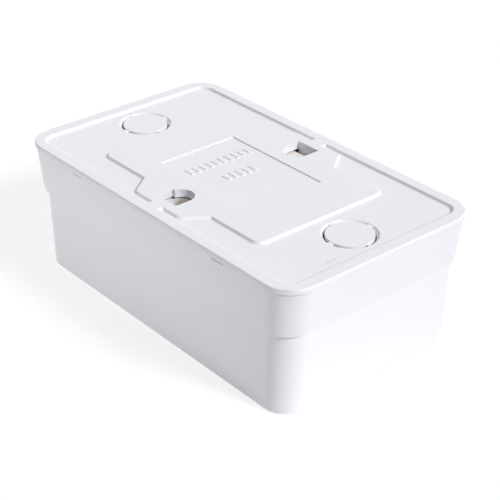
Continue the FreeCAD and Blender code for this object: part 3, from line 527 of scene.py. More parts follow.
field = block("field", (-FIELD[0], -FIELD[1], FIELD_FLOOR), (*FIELD, ABOVE))
first_bar = block("bar", (-BAR[0], -BAR[1], FIELD_FLOOR - OVERLAP), (*BAR, BAR_TOP))
bars = []
for row_x, count in ROWS:
    for index in range(count):
        bars.append(copy_moved(first_bar, "bar", row_x, (index - (count - 1) / 2) * PITCH))
discard(first_bar)
take_up(bars[0])
for bar in bars:
    bar.select_set(True)
bpy.ops.object.join()
cut(field, bars[0])
cut(rear_plate, field)
print("Bars in the strip gauge:", len(bars))

# %% [markdown]
# ### Windows for the wall screws
#
# A window is D-shaped: half round towards the middle and straight towards the edge. Beveling two
# upright edges of a block by half its width turns that end into a half circle. The front window's
# round part is narrower on one side, which leaves a small step where the straight part begins.

# %% Windows
WINDOW_HALF = 5.4
WINDOW_FLAT = 33.3
WINDOW_END = 22.5
WINDOW_STEPS = 20
STEP_START = 26.35
STEP = 1.25
HAIR = 0.002


def window_cutter(side, step):
    """A D-shaped cutter through the plate, with its round part narrower by a step on the left."""
    low, high = PANEL_UNDERSIDE - BEYOND, ABOVE
    near, far = sorted((side * WINDOW_END, side * WINDOW_FLAT))
    piece = block("window", (step - WINDOW_HALF, near, low), (WINDOW_HALF, far, high))

    def round_end(edge):
        """A test for the two upright edges of the end that becomes round."""
        return upright(edge) and abs(edge.verts[0].co.y / MM - side * WINDOW_END) < CLOSE

    bevel_edges(piece, round_end, WINDOW_HALF - step / 2 - HAIR, WINDOW_STEPS)
    if step:
        near, far = sorted((side * STEP_START, side * (WINDOW_FLAT - 0.01)))
        low, high = low - OVERLAP, high + OVERLAP
        add(piece, block("straight", (-WINDOW_HALF, near, low), (0, far, high)))
    return piece


cut(rear_plate, window_cutter(-1, STEP))
cut(rear_plate, window_cutter(1, 0.0))
report(rear_plate)

# %% [markdown]
# ### Knockouts
#
# A knockout is a disc that a fitter breaks out to let a cable in. A slot runs round it, and four
# thin webs just under the panel's top hold it until then. The slot is narrow, and its outer side
# flares out to the panel, so that only its ends look dark. Its cutter is a ring and a cone, with
# the webs taken out.

# %% Knockouts
KNOCKOUT_X = 57.0
DISC = 8.5
SLOT = 0.6
FLARE = 0.85
FLARE_DEPTH = 0.9
FLARE_ABOVE = 0.45
FLARE_STEP = 0.06
WEB_HALF = 0.8
WEB_TOP = PANEL_TOP - 0.2
WEB_LOW = WEB_TOP - 0.9


def flare():
    """A cone that widens from the slot to the panel's top and a little beyond it."""
    low_radius = DISC + SLOT + FLARE_STEP
    high_radius = low_radius + FLARE * (FLARE_DEPTH + FLARE_ABOVE) / FLARE_DEPTH
    low = PANEL_TOP - FLARE_DEPTH
    cone = drum("flare", high_radius, low, PANEL_TOP + FLARE_ABOVE, KNOCKOUT_X)
    ratio = low_radius / high_radius
    draft(cone, low, ratio, ratio, KNOCKOUT_X)
    return cone


def web(x_half, y_half):
    """A thin bar through the middle of a knockout, at the level of the webs."""
    low = (KNOCKOUT_X - x_half, -y_half, WEB_LOW)
    return block("web", low, (KNOCKOUT_X + x_half, y_half, WEB_TOP))


def knockout_cutter():
    """The ring-shaped slot round a knockout disc with its flare, less the four webs."""
    ring_top = PANEL_TOP - FLARE_DEPTH / 2
    ring = drum("ring", DISC + SLOT, PANEL_UNDERSIDE - BEYOND, ring_top, KNOCKOUT_X)
    add(ring, flare())
    low, high = PANEL_UNDERSIDE - 2 * BEYOND, PANEL_TOP + 2 * BEYOND
    disc = drum("disc", DISC, low, high, KNOCKOUT_X)
    reach = DISC + SLOT + 2 * FLARE
    cut(ring, disc, web(reach, WEB_HALF), web(WEB_HALF, reach))
    return ring


ring_right = knockout_cutter()
ring_left = copy_moved(ring_right, "ring", -2 * KNOCKOUT_X, 0)
cut(rear_plate, ring_right, ring_left)
report(rear_plate)

# %% [markdown]
# ### What is under the plate
#
# Bosses take the screws of the contact base, snap tabs catch the frame, and a guard tab stands at
# the straight edge of each window. They start inside the plate, so that they join it fully.

# %% Bosses, snap tabs and guard tabs
BOSS_X, BOSS_Y = 49.0, 16.5
BOSS_RADIUS = 3.5
BOSS_END = 40.9
BOSS_BORE = 1.5
BOSS_BORE_END = 46.9
SNAP_X = 40.0
SNAP_HALF = 2.5
SNAP_Y = (39.15, 43.3)
SNAP_LOW = 48.6
GUARD_WALL = 1.5
GUARD_END = 41.3
ROOT = PANEL_UNDERSIDE + OVERLAP

boss = drum("boss", BOSS_RADIUS, BOSS_END, ROOT, BOSS_X, BOSS_Y, sides=40)
cut(boss, drum("bore", BOSS_BORE, BOSS_END - BEYOND, BOSS_BORE_END, BOSS_X, BOSS_Y, sides=24))
snap = block(
    "snap",
    (SNAP_X - SNAP_HALF, SNAP_Y[0], SNAP_LOW),
    (SNAP_X + SNAP_HALF, SNAP_Y[1], FLANGE_UNDERSIDE + OVERLAP),
)
guard = block(
    "guard",
    (-WINDOW_HALF, WINDOW_FLAT, GUARD_END),
    (WINDOW_HALF, WINDOW_FLAT + GUARD_WALL, ROOT),
)
for x in (0, -2):
    for y in (0, -2):
        add(rear_plate, copy_moved(boss, "boss", x * BOSS_X, y * BOSS_Y))
        add(rear_plate, copy_moved(snap, "snap", x * SNAP_X, y * sum(SNAP_Y) / 2))
front_guard = copy_moved(guard, "guard", 0, -2 * (WINDOW_FLAT + GUARD_WALL / 2))
add(rear_plate, front_guard, guard)
discard(boss)
discard(snap)
report(rear_plate)

# %% [markdown]
# ### Marks of the mould
#
# Pins push a moulding out of its mould, and each leaves a mark. One stood slightly tilted, so only
# a crescent of it shows near a corner. Another left a round dish that is hardly seen. Their sides
# are so flat that the soft edges, which come last, leave them alone.

# %% Marks of the mould
MARK_DEPTH = 0.1
MARK_RATIO = 0.8
CRESCENT = (66.2, -17.3)
CRESCENT_RADIUS = 2.4
CRESCENT_TILT = radians(2.5)
CRESCENT_HINGE = 68.0
DISH = (31.2, 7.9)
DISH_RADIUS = 3.0
PLATE_SOFTNESS = 0.13


def pin_mark(x, y, level, radius):
    """A shallow round cutter whose lower face is smaller than its upper one."""
    low = level - MARK_DEPTH
    piece = drum("pin_mark", radius, low, level + MARK_DEPTH, x, y, sides=48)
    draft(piece, low, MARK_RATIO, MARK_RATIO, x, y)
    return piece


tilted = pin_mark(*CRESCENT, PANEL_TOP, CRESCENT_RADIUS)
take_up(tilted)
bpy.ops.transform.rotate(
    value=CRESCENT_TILT,
    orient_axis="Y",
    center_override=mm(CRESCENT_HINGE, CRESCENT[1], PANEL_TOP),
)
settle("tilted_mark")
cut(rear_plate, tilted, pin_mark(*DISH, PLATE_TOP, DISH_RADIUS))
finish(rear_plate, PLATE_SOFTNESS)

# %% [markdown]
# ## The frame
#
# The frame is the upper part of the walls. Its walls lean outwards by a millimetre or so up to the
# seam, where a thin shadow gap parts it from the flange. It ends at the shoulder in a crisp edge.

# %% Frame shell
SHOULDER = 32.1
SHOULDER_SIZE = (145.0, 84.6)
SHOULDER_EDGE = 0.35
FRAME_TOP = 49.42
FRAME_TOP_SIZE = (148.4, 86.9)
FRAME_CORNER = 10.5
FRAME_BORE = (140.6, 80.2)
FRAME_BORE_CORNER = 8.3
NOTCH_HALF = 2.6
NOTCH_Y = (38.0, 44.0)
NOTCH_LOW = 48.5
FRAME_SOFTNESS = 0.12

frame_shell = slab("frame_shell", *FRAME_TOP_SIZE, SHOULDER, FRAME_TOP, FRAME_CORNER)
ratios = [low / high for low, high in zip(SHOULDER_SIZE, FRAME_TOP_SIZE)]
draft(frame_shell, SHOULDER, *ratios)
bevel_edges(frame_shell, edge_at_level(SHOULDER), SHOULDER_EDGE, 3)
low, high = SHOULDER - BEYOND, FRAME_TOP + BEYOND
cut(frame_shell, slab("frame_bore", *FRAME_BORE, low, high, FRAME_BORE_CORNER))
notch = block(
    "notch",
    (SNAP_X - NOTCH_HALF, NOTCH_Y[0], NOTCH_LOW),
    (SNAP_X + NOTCH_HALF, NOTCH_Y[1], FRAME_TOP + BEYOND),
)
for x in (0, -2):
    for y in (0, -1):
        cut(frame_shell, copy_moved(notch, "notch", x * SNAP_X, y * sum(NOTCH_Y)))
discard(notch)
finish(frame_shell, FRAME_SOFTNESS)

# %% [markdown]
# ## The cover
#
# The cover is the lower part of the walls and the face that the socket lies on. A tongue on its top
# enters the frame. The face has a round mouth for each outlet, with a shallow seat round it.

# %% Cover walls
COVER_TOP_SIZE = (142.5, 82.1)
COVER_CORNER = 9.5
FACE_SIZE = (140.5, 81.7)
FACE_EDGE = 0.8
FACE_INSIDE = 2.5
TONGUE_TOP = 36.1
HOLLOW = (136.1, 77.3)
HOLLOW_CORNER = 7.3
OUTLET_X = 35.5
MOUTH_RADIUS = 21.7
SEAT_RADIUS = 23.2
SEAT_DEPTH = 1.2
ROUND_SIDES = 120
COVER_SOFTNESS = 0.18

cover_shell = slab("cover_shell", *COVER_TOP_SIZE, 0.0, SHOULDER, COVER_CORNER)
draft(cover_shell, 0.0, *[low / high for low, high in zip(FACE_SIZE, COVER_TOP_SIZE)])
bevel_edges(cover_shell, edge_at_level(0.0), FACE_EDGE, 4)
add(cover_shell, slab("tongue", *PLUG_SIZE, SHOULDER - BEYOND, TONGUE_TOP, PLUG_CORNER))
cut(cover_shell, slab("cover_hollow", *HOLLOW, FACE_INSIDE, TONGUE_TOP + BEYOND, HOLLOW_CORNER))
for x in (-OUTLET_X, OUTLET_X):
    cut(cover_shell, drum("mouth", MOUTH_RADIUS, -BEYOND, FACE_INSIDE + BEYOND, x, 0, ROUND_SIDES))
    cut(cover_shell, drum("seat", SEAT_RADIUS, -BEYOND, SEAT_DEPTH, x, 0, ROUND_SIDES))
finish(cover_shell, COVER_SOFTNESS)

# %% [markdown]
# ## The outlet cups
#
# Each outlet is a cup of its own that is put through a mouth of the cover until its flange lies in
# the seat. Its well has two pin holes, a countersunk screw hole, two guides and two slots for the
# earth clips. The cup is turned from drums, because it is round but for its holes. One is modelled
# and then copied.

# %% Outlet cups
WELL_RADIUS = 19.75
CUP_RADIUS = 21.55
FLANGE_RADIUS = 23.05
WELL_FLOOR = 17.5
WELL_BACK = 19.7
PIN_X = 9.5
PIN_RADIUS = 2.7
GUIDE_REACH = (17.95, 22.0)
GUIDE_HALF = 2.3
GUIDE_LOW = 4.0
CLIP_REACH = (17.8, 23.2)
CLIP_HALF = 3.2
CLIP_LOW = 3.6
SCREW_HEAD = 3.5
SHANK_RATIO = 0.4
CUP_SOFTNESS = 0.15


def countersink(x):
    """A cone that narrows from the screw head to the shank, with the shank's hole beyond."""
    piece = drum("countersink", SCREW_HEAD, WELL_FLOOR, WELL_BACK, x, 0, sides=40)
    draft(piece, WELL_BACK, SHANK_RATIO, SHANK_RATIO, x)
    for way in (1, -1):
        open_and_pick(piece, "FACE", lambda face: way * face.normal.z > 0.99)
        longer = {"value": mm(0, 0, way * BEYOND)}
        bpy.ops.mesh.extrude_region_move(TRANSFORM_OT_translate=longer)
        close()
    return piece


def outlet_cup(name, x):
    """The cup of one outlet with its well, holes and guides."""
    past_back = WELL_BACK + BEYOND
    cup = drum(name, FLANGE_RADIUS, 0.0, SEAT_DEPTH, x, 0, ROUND_SIDES)
    add(cup, drum("wall", CUP_RADIUS, SEAT_DEPTH / 2, WELL_BACK, x, 0, ROUND_SIDES))
    bore = drum("bore", WELL_RADIUS, -BEYOND, WELL_FLOOR, x, 0, ROUND_SIDES)
    for end in (-1, 1):
        near, far = sorted(x + end * reach for reach in GUIDE_REACH)
        low, high = (near, -GUIDE_HALF, GUIDE_LOW), (far, GUIDE_HALF, WELL_FLOOR + BEYOND)
        cut(bore, block("guide", low, high))
    cut(cup, bore)
    for end in (-1, 1):
        pin_x = x + end * PIN_X
        cut(cup, drum("pin_hole", PIN_RADIUS, WELL_FLOOR - BEYOND, past_back, pin_x, 0, sides=40))
        near, far = sorted(end * reach for reach in CLIP_REACH)
        low, high = (x - CLIP_HALF, near, CLIP_LOW), (x + CLIP_HALF, far, past_back)
        cut(cup, block("clip_slot", low, high))
    cut(cup, countersink(x))
    return cup


cup_right = outlet_cup("outlet_cup_right", OUTLET_X)
finish(cup_right, CUP_SOFTNESS)
cup_left = copy_moved(cup_right, "outlet_cup_left", -2 * OUTLET_X, 0)
print("The wells are", 2 * WELL_RADIUS, "mm wide and", WELL_FLOOR, "mm deep")

# %% [markdown]
# ## Return springs
#
# A coil spring brings each shutter back. Its lower leg sits in the shutter and its upper leg in the
# contact base, so it can't follow one body alone. The Screw modifier turns a ring into the coil.

# %% Return springs
WIRE = 0.3
WIRE_SIDES = 12
COIL = 5.05
TURNS = 3
TURN_STEPS = 40
LEG = 1.6
LEG_ASIDE = 0.24
LEG_SIDES = 24
SPRING_SMOOTH_UNDER = radians(40)


def coil(name, start, end):
    """A ring of wire turned into a coil between two levels, with its ends closed."""
    bpy.ops.object.select_all(action="DESELECT")
    bpy.ops.mesh.primitive_circle_add(
        vertices=WIRE_SIDES,
        radius=WIRE * MM,
        fill_type="NOTHING",
        location=mm(0, COIL, start),
        rotation=(0, radians(90), 0),
    )
    piece = settle(name)
    screw = piece.modifiers.new("coil", "SCREW")
    screw.axis = "Z"
    screw.angle = radians(360 * TURNS)
    screw.screw_offset = (end - start) * MM
    screw.steps = screw.render_steps = TURNS * TURN_STEPS
    screw.use_merge_vertices = False
    bpy.ops.object.modifier_apply(modifier=screw.name)
    open_and_pick(piece, "EDGE", lambda edge: edge.is_boundary)
    bpy.ops.mesh.fill_holes(sides=0)
    bpy.ops.mesh.select_all(action="SELECT")
    bpy.ops.mesh.normals_make_consistent(inside=False)
    close()
    return piece


def return_spring(side, x):
    """A coil with an upright leg at each end, and the levels of its two ends."""
    low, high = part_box(f"shutter_spring_{side}")
    start = low[2] / MM + LEG
    end = high[2] / MM - LEG
    spring = coil(f"return_spring_{side}", start, end)
    add(spring, drum("lower_leg", WIRE, start - LEG, start, -LEG_ASIDE, COIL, LEG_SIDES))
    add(spring, drum("upper_leg", WIRE, end, end + LEG, LEG_ASIDE, COIL, LEG_SIDES))
    open_whole(spring)
    bpy.ops.transform.translate(value=mm(x, 0, 0))
    close()
    bpy.ops.object.shade_smooth_by_angle(angle=SPRING_SMOOTH_UNDER)
    report(spring)
    return spring, start, end


springs = []
for side, x in (("left", -OUTLET_X), ("right", OUTLET_X)):
    spring, start, end = return_spring(side, x)
    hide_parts(f"shutter_spring_{side}")
    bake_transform(spring)
    springs.append(spring)
    print(spring.name, "twists between", round(start, 2), "and", round(end, 2), "mm")

# %% [markdown]
# ## Who rides on what
#
# Each shell and cup stands for one CAD solid, which is hidden, and all of them belong to the
# housing.

# %% Riding and replacing
SHELLS = {
    "back_plate": rear_plate,
    "wall_frame": frame_shell,
    "front_cover": cover_shell,
    "outlet_insert_left": cup_left,
    "outlet_insert_right": cup_right,
}
for stands_for, shell in SHELLS.items():
    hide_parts(stands_for)
    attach(shell, "housing")
    print(shell.name, "stands for", stands_for)

# %% [markdown]
# ## Node helpers
#
# A material is a small net of nodes. A few helpers keep it short. One adds a node and fills in its
# values, and one adds a Math node with its two inputs. Another starts a material with its shader and
# its own Object coordinates, which stay with the piece, and the last gives a shader its bump.

# %% Node helpers
def fill(made, values):
    """Set a node's properties and its inputs by name."""
    for name, value in values.items():
        if name in made.inputs:
            made.inputs[name].default_value = value
        else:
            setattr(made, name, value)


def node(tree, kind, **values):
    """Add a node with its values."""
    made = tree.nodes.new(kind)
    fill(made, values)
    return made


def join(tree, start, end):
    """Link an output to an input."""
    tree.links.new(start, end)


def maths(tree, operation, *sources):
    """Add a Math node, fed by outputs or by plain numbers, and give its result."""
    made = node(tree, "ShaderNodeMath", operation=operation)
    for socket, source in zip(made.inputs, sources):
        if isinstance(source, float):
            socket.default_value = source
        else:
            join(tree, source, socket)
    return made.outputs[0]


def new_group(name, inputs, outputs):
    """A shader node group with named inputs and outputs."""
    tree = bpy.data.node_groups.new(name, "ShaderNodeTree")
    for label, kind, value in inputs:
        socket = tree.interface.new_socket(
            name=label, in_out="INPUT", socket_type="NodeSocket" + kind
        )
        if value is not None:
            socket.default_value = value
    for label, kind in outputs:
        tree.interface.new_socket(
            name=label, in_out="OUTPUT", socket_type="NodeSocket" + kind
        )
    return tree, tree.nodes.new("NodeGroupInput"), tree.nodes.new("NodeGroupOutput")


def new_material(name, roughness, metallic=0.0):
    """A material with its net, its shader and its place on the object."""
    material = bpy.data.materials.new(name)
    material.use_nodes = True
    tree = material.node_tree
    shader = tree.nodes["Principled BSDF"]
    fill(shader, {"Roughness": roughness, "Metallic": metallic})
    place = tree.nodes.new("ShaderNodeTexCoord").outputs["Object"]
    return material, tree, shader, place


def clothe(tree, surface, shader, depth):
    """Give a shader a group's roughness, and its height as a bump, in millimetres."""
    join(tree, surface.outputs["Roughness"], shader.inputs["Roughness"])
    bump = node(tree, "ShaderNodeBump", Strength=1.0, Distance=depth * MM)
    join(tree, surface.outputs["Height"], bump.inputs["Height"])
    join(tree, bump.outputs["Normal"], shader.inputs["Normal"])


print("Node helpers are ready")

# %% [markdown]
# ## The skin of a moulding
#
# Moulded plastic looks plain, and it isn't quite. Its tone drifts a little over a few centimetres,
# its gloss changes in soft patches where the mould was polished, and under a lens its skin has a
# fine grain. The group gives all three, and each plastic sets its own amounts.

# %% Group: moulded skin
DRIFT_SCALE = 28.0
PATCH_SCALE = 90.0

skin, skin_in, skin_out = new_group(
    "moulded_skin",
    [
        ("Place", "Vector", None),
        ("Colour", "Color", (0.8, 0.8, 0.8, 1.0)),
        ("Drift", "Float", 0.02),
        ("Gloss low", "Float", 0.3),
        ("Gloss high", "Float", 0.4),
        ("Grain per metre", "Float", 2500.0),
    ],
    [("Colour", "Color"), ("Roughness", "Float"), ("Height", "Float")],
)
drift = node(skin, "ShaderNodeTexNoise", Scale=DRIFT_SCALE, Detail=2.0)
join(skin, skin_in.outputs["Place"], drift.inputs["Vector"])
swing = maths(skin, "SUBTRACT", drift.outputs["Fac"], 0.5)
share = maths(skin, "MULTIPLY", swing, skin_in.outputs["Drift"])
toned = node(skin, "ShaderNodeVectorMath", operation="SCALE")
join(skin, skin_in.outputs["Colour"], toned.inputs[0])
join(skin, maths(skin, "ADD", share, 1.0), toned.inputs["Scale"])
join(skin, toned.outputs[0], skin_out.inputs["Colour"])

patches = node(skin, "ShaderNodeTexNoise", Scale=PATCH_SCALE, Detail=3.0)
join(skin, skin_in.outputs["Place"], patches.inputs["Vector"])
gloss = node(skin, "ShaderNodeMapRange")
join(skin, patches.outputs["Fac"], gloss.inputs["Value"])
join(skin, skin_in.outputs["Gloss low"], gloss.inputs["To Min"])
join(skin, skin_in.outputs["Gloss high"], gloss.inputs["To Max"])
join(skin, gloss.outputs["Result"], skin_out.inputs["Roughness"])

grain = node(skin, "ShaderNodeTexNoise", Detail=2.0)
join(skin, skin_in.outputs["Place"], grain.inputs["Vector"])
join(skin, skin_in.outputs["Grain per metre"], grain.inputs["Scale"])
join(skin, grain.outputs["Fac"], skin_out.inputs["Height"])
print("Group moulded_skin:", len(skin.nodes), "nodes")

# %% [markdown]
# ## Specks
#
# A clean white part still has a few tiny grey specks. A Voronoi pattern puts one in each cell, and
# a random value of the cell decides whether it is there, so that they are few and not in rows.

# %% Group: specks
specks, specks_in, specks_out = new_group(
    "specks",
    [
        ("Place", "Vector", None),
        ("Cells per metre", "Float", 120.0),
        ("Size", "Float", 0.03),
        ("Few", "Float", 0.8),
    ],
    [("Mask", "Float")],
)
cells = node(specks, "ShaderNodeTexVoronoi")
join(specks, specks_in.outputs["Place"], cells.inputs["Vector"])
join(specks, specks_in.outputs["Cells per metre"], cells.inputs["Scale"])
parts = node(specks, "ShaderNodeSeparateColor")
join(specks, cells.outputs["Color"], parts.inputs[0])
small = maths(specks, "LESS_THAN", cells.outputs["Distance"], specks_in.outputs["Size"])
chosen = maths(specks, "GREATER_THAN", parts.outputs[0], specks_in.outputs["Few"])
join(specks, maths(specks, "MULTIPLY", small, chosen), specks_out.inputs["Mask"])
print("Group specks:", len(specks.nodes), "nodes")

# %% [markdown]
# ## A plastic from the two groups
#
# Every plastic of the socket is the same net with other values: the skin colours the shader, sets
# its gloss and raises its grain, and the specks darken a few points.

# %% Plastics
def plastic(name, colour, drift, gloss, grain, depth, speck, few):
    """A moulded plastic with its own tone, gloss, grain and specks."""
    material, tree, shader, place = new_material(name, sum(gloss) / 2)
    surface = node(tree, "ShaderNodeGroup", node_tree=skin)
    values = {
        "Colour": (*colour, 1.0),
        "Drift": drift,
        "Gloss low": gloss[0],
        "Gloss high": gloss[1],
        "Grain per metre": grain,
    }
    fill(surface, values)
    join(tree, place, surface.inputs["Place"])
    dots = node(tree, "ShaderNodeGroup", node_tree=specks)
    fill(dots, {"Few": few})
    join(tree, place, dots.inputs["Place"])
    mixed = node(tree, "ShaderNodeMix", data_type="RGBA")
    join(tree, dots.outputs["Mask"], mixed.inputs["Factor"])
    join(tree, surface.outputs["Colour"], mixed.inputs["A"])
    mixed.inputs["B"].default_value = (*speck, 1.0)
    join(tree, mixed.outputs["Result"], shader.inputs["Base Color"])
    clothe(tree, surface, shader, depth)
    print(name, colour)
    return material


WHITE = (0.84, 0.845, 0.895)
CREAM = (0.83, 0.78, 0.75)
SHUTTER_GREY = (0.72, 0.73, 0.76)
WHITE_SPECK = (0.55, 0.54, 0.52)
CREAM_SPECK = (0.45, 0.40, 0.36)
GREY_SPECK = (0.5, 0.5, 0.5)
white_plastic = plastic(
    "white_plastic", WHITE, 0.02, (0.30, 0.40), 2600.0, 0.006, WHITE_SPECK, 0.9
)
cream_plastic = plastic(
    "cream_plastic", CREAM, 0.10, (0.48, 0.62), 1800.0, 0.02, CREAM_SPECK, 0.5
)
shutter_plastic = plastic(
    "shutter_plastic", SHUTTER_GREY, 0.03, (0.34, 0.44), 2200.0, 0.01, GREY_SPECK, 0.9
)

# %% [markdown]
# ## The grain of worked metal
#
# Rolled strip and drawn wire have fine lines along one way, and turned screws have them round.
# Stretching a noise along one axis gives lines. A slow second noise stains the metal, as fingers
# and air do.

# %% Group: metal grain
STAIN_SCALE = 0.05

metal, metal_in, metal_out = new_group(
    "metal_grain",
    [
        ("Place", "Vector", None),
        ("Colour", "Color", (0.7, 0.7, 0.7, 1.0)),
        ("Stain", "Color", (0.5, 0.5, 0.5, 1.0)),
        ("Gloss low", "Float", 0.25),
        ("Gloss high", "Float", 0.45),
    ],
    [("Colour", "Color"), ("Roughness", "Float"), ("Height", "Float")],
)
lines = node(metal, "ShaderNodeTexNoise", Scale=1.0, Detail=3.0)
join(metal, metal_in.outputs["Place"], lines.inputs["Vector"])
cloud = node(metal, "ShaderNodeTexNoise", Scale=STAIN_SCALE, Detail=2.0)
join(metal, metal_in.outputs["Place"], cloud.inputs["Vector"])
spread = node(metal, "ShaderNodeMapRange")
fill(spread, {"From Min": 0.45, "From Max": 0.75})
join(metal, cloud.outputs["Fac"], spread.inputs["Value"])
stained = node(metal, "ShaderNodeMix", data_type="RGBA")
join(metal, spread.outputs["Result"], stained.inputs["Factor"])
join(metal, metal_in.outputs["Colour"], stained.inputs["A"])
join(metal, metal_in.outputs["Stain"], stained.inputs["B"])
join(metal, stained.outputs["Result"], metal_out.inputs["Colour"])
sheen = node(metal, "ShaderNodeMapRange")
join(metal, lines.outputs["Fac"], sheen.inputs["Value"])
join(metal, metal_in.outputs["Gloss low"], sheen.inputs["To Min"])
join(metal, metal_in.outputs["Gloss high"], sheen.inputs["To Max"])
join(metal, sheen.outputs["Result"], metal_out.inputs["Roughness"])
join(metal, lines.outputs["Fac"], metal_out.inputs["Height"])
print("Group metal_grain:", len(metal.nodes), "nodes")

# %% [markdown]
# The group's place is stretched before it goes in. The numbers of a stretch are how fine the lines
# are along X, Y and Z, and the lines run along the smallest one.

# %% Metals
def worked_metal(name, colour, stain, gloss, stretch, depth):
    """A bare or plated metal with lines along the axis that is stretched least."""
    material, tree, shader, place = new_material(name, sum(gloss) / 2, 1.0)
    mapping = node(tree, "ShaderNodeMapping", Scale=stretch)
    join(tree, place, mapping.inputs["Vector"])
    surface = node(tree, "ShaderNodeGroup", node_tree=metal)
    values = {
        "Colour": (*colour, 1.0),
        "Stain": (*stain, 1.0),
        "Gloss low": gloss[0],
        "Gloss high": gloss[1],
    }
    fill(surface, values)
    join(tree, mapping.outputs["Vector"], surface.inputs["Place"])
    join(tree, surface.outputs["Colour"], shader.inputs["Base Color"])
    clothe(tree, surface, shader, depth)
    print(name, colour)
    return material


ALONG_X = (400.0, 6000.0, 6000.0)
UPRIGHT = (6000.0, 6000.0, 400.0)
ALL_WAYS = (5000.0, 5000.0, 5000.0)
BRASS, BRASS_STAIN = (0.80, 0.62, 0.30), (0.52, 0.36, 0.15)
NICKEL, NICKEL_STAIN = (0.72, 0.70, 0.66), (0.55, 0.52, 0.46)
ZINC, ZINC_STAIN = (0.70, 0.72, 0.75), (0.56, 0.56, 0.52)
STEEL, STEEL_STAIN = (0.48, 0.49, 0.51), (0.30, 0.29, 0.28)
brass = worked_metal("brass", BRASS, BRASS_STAIN, (0.24, 0.42), ALONG_X, 0.004)
nickel_strip = worked_metal("nickel_strip", NICKEL, NICKEL_STAIN, (0.22, 0.4), UPRIGHT, 0.004)
zinc_steel = worked_metal("zinc_steel", ZINC, ZINC_STAIN, (0.26, 0.46), ALL_WAYS, 0.005)
spring_steel = worked_metal("spring_steel", STEEL, STEEL_STAIN, (0.28, 0.4), ALL_WAYS, 0.003)

# %% [markdown]
# ## Giving every piece its finish
#
# The shells and cups take the white plastic and the return springs the spring steel. A CAD node
# takes its finish by the way its name starts, and any other node is white plastic too, so one loop
# covers them all.

# %% Assign finishes
FINISH_OF = {
    "contact_base": cream_plastic,
    "shutter_left": shutter_plastic,
    "shutter_right": shutter_plastic,
    "shutter_spring": spring_steel,
    "earth_clip": nickel_strip,
    "earth_link": nickel_strip,
    "earth_rivet": brass,
    "live_busbar": brass,
    "neutral_busbar": brass,
    "terminal_block": brass,
    "terminal_screw": zinc_steel,
    "cover_screw": zinc_steel,
    "base_screw": zinc_steel,
}


def dress(piece, material):
    """Give a piece one material in all its slots."""
    if not piece.material_slots:
        piece.data.materials.append(material)
    for held in piece.material_slots:
        held.material = material


for shell in SHELLS.values():
    dress(shell, white_plastic)
for spring in springs:
    dress(spring, spring_steel)
for name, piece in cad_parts.items():
    wanted = [finish for start, finish in FINISH_OF.items() if name.startswith(start)]
    dress(piece, wanted[0] if wanted else white_plastic)
print("Dressed", len(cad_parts), "nodes and", len(SHELLS), "shells")

# %% [markdown]
# ## Floor and light
#
# A white studio is one pale floor, a pale surround and one broad lamp. The floor has a painted glow
# on the left: it gives off light there in place of a lit table, and lifts the far end and the foot
# of the long wall. The glow fades with the distance from its middle, in metres. The camera alone
# sees the floor as plain white, and the floor still takes the shadow.

# %% Floor
FLOOR_SIZE = 6.0
FLOOR_LEVEL = -0.0002
FLOOR_GREY = 0.6
FLOOR_GLOW = 0.82
GLOW_MIDDLE = (-0.06, -0.12, 0.0)
GLOW_NEAR = 0.04
GLOW_FAR = 0.24
SEEN_GLOW = 0.75
SEEN_GREY = 0.3

bpy.ops.object.select_all(action="DESELECT")
bpy.ops.mesh.primitive_plane_add(size=FLOOR_SIZE, location=(0, 0, FLOOR_LEVEL))
floor = settle("studio_floor")
open_whole(floor)
bpy.ops.mesh.subdivide(number_cuts=3)
close()
floor_paint_and_glow, tree, shader, place = new_material("studio_floor", 0.9)
values = {
    "Base Color": (FLOOR_GREY, FLOOR_GREY, FLOOR_GREY, 1.0),
    "Specular IOR Level": 0.0,
    "Emission Color": (1.0, 1.0, 1.0, 1.0),
}
fill(shader, values)
distance = node(tree, "ShaderNodeVectorMath", operation="DISTANCE")
join(tree, place, distance.inputs[0])
distance.inputs[1].default_value = GLOW_MIDDLE
fade = node(tree, "ShaderNodeMapRange", interpolation_type="SMOOTHSTEP")
values = {"From Min": GLOW_NEAR, "From Max": GLOW_FAR, "To Min": FLOOR_GLOW, "To Max": 0.0}
fill(fade, values)
join(tree, distance.outputs["Value"], fade.inputs["Value"])
# Painted glow: the floor itself gives off light near the socket, in place of a lit table.
join(tree, fade.outputs["Result"], shader.inputs["Emission Strength"])
print("Floor at", FLOOR_LEVEL / MM, "mm")

# %% [markdown]
# A Mix Shader chooses by the ray: what the camera sees directly gets one surface, and all other
# rays the other one.

# %% What the camera sees of the floor
def choose(tree, chooser, otherwise, chosen, output):
    """Show one shader where the chooser is 1, and the other one elsewhere."""
    choice = node(tree, "ShaderNodeMixShader")
    join(tree, chooser, choice.inputs[0])
    join(tree, otherwise.outputs[0], choice.inputs[1])
    join(tree, chosen.outputs[0], choice.inputs[2])
    join(tree, choice.outputs[0], tree.nodes[output].inputs["Surface"])


seen = node(tree, "ShaderNodeLightPath")
glow = node(tree, "ShaderNodeEmission", Strength=SEEN_GLOW)
pale = node(tree, "ShaderNodeBsdfDiffuse", Color=(SEEN_GREY, SEEN_GREY, SEEN_GREY, 1.0))
lit = node(tree, "ShaderNodeAddShader")
join(tree, glow.outputs[0], lit.inputs[0])
join(tree, pale.outputs[0], lit.inputs[1])
choose(tree, seen.outputs["Is Camera Ray"], shader, lit, "Material Output")
dress(floor, floor_paint_and_glow)
print("The floor's net has", len(tree.nodes), "nodes")

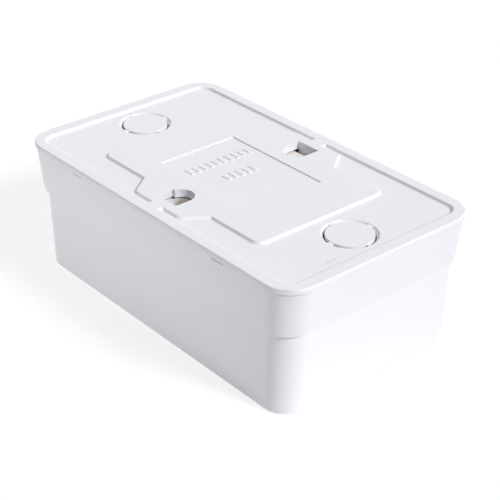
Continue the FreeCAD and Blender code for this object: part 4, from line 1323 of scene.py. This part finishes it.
# %% [markdown]
# The camera's own side of the room is a little darker, which turns the near corner down. The
# camera, and whatever mirrors or lets light through, see a white room. The lamp stands beyond the
# short end that faces the camera, so that end is the brightest wall, and the long wall falls into a
# soft grey.

# %% Surround and lamp
SURROUND = 0.70
DARK_SIDE = 0.16
DARK_WAY = (0.30, -0.95, 0.05)
DARK_FROM = -0.5
DARK_TO = 0.9
LAMP_STRENGTH = 2.5
LAMP_FROM = Vector((0.78, 0.20, 0.59))
LAMP_BREADTH = radians(14)

world = bpy.data.worlds.new("studio")
world.use_nodes = True
bpy.context.scene.world = world
tree = world.node_tree
light = tree.nodes["Background"]
light.inputs["Color"].default_value = (1.0, 1.0, 1.0, 1.0)
way = node(tree, "ShaderNodeTexCoord")
facing = node(tree, "ShaderNodeVectorMath", operation="DOT_PRODUCT")
join(tree, way.outputs["Generated"], facing.inputs[0])
facing.inputs[1].default_value = DARK_WAY
level = node(tree, "ShaderNodeMapRange", interpolation_type="SMOOTHSTEP")
values = {"From Min": DARK_FROM, "From Max": DARK_TO, "To Min": SURROUND, "To Max": DARK_SIDE}
fill(level, values)
join(tree, facing.outputs["Value"], level.inputs["Value"])
join(tree, level.outputs["Result"], light.inputs["Strength"])
white = node(tree, "ShaderNodeBackground", Color=(1.0, 1.0, 1.0, 1.0), Strength=1.0)
rays = node(tree, "ShaderNodeLightPath").outputs
any_view = maths(tree, "MAXIMUM", rays["Is Camera Ray"], rays["Is Glossy Ray"])
all_views = maths(tree, "MAXIMUM", any_view, rays["Is Transmission Ray"])
choose(tree, all_views, light, white, "World Output")

bpy.ops.object.select_all(action="DESELECT")
bpy.ops.object.light_add(type="SUN", location=(1.0, 0.0, 1.0))
lamp = bpy.context.object
lamp.name = "studio_lamp"
lamp.rotation_euler = LAMP_FROM.to_track_quat("Z", "Y").to_euler()
lamp.data.energy = LAMP_STRENGTH
lamp.data.angle = LAMP_BREADTH
print("Surround", SURROUND, "and lamp", LAMP_STRENGTH)

# %% [markdown]
# ## Colour management
#
# The Standard view shows colours as they are written. The dressed model must stay inside the
# CAD one.

# %% View
bpy.context.scene.view_settings.view_transform = "Standard"
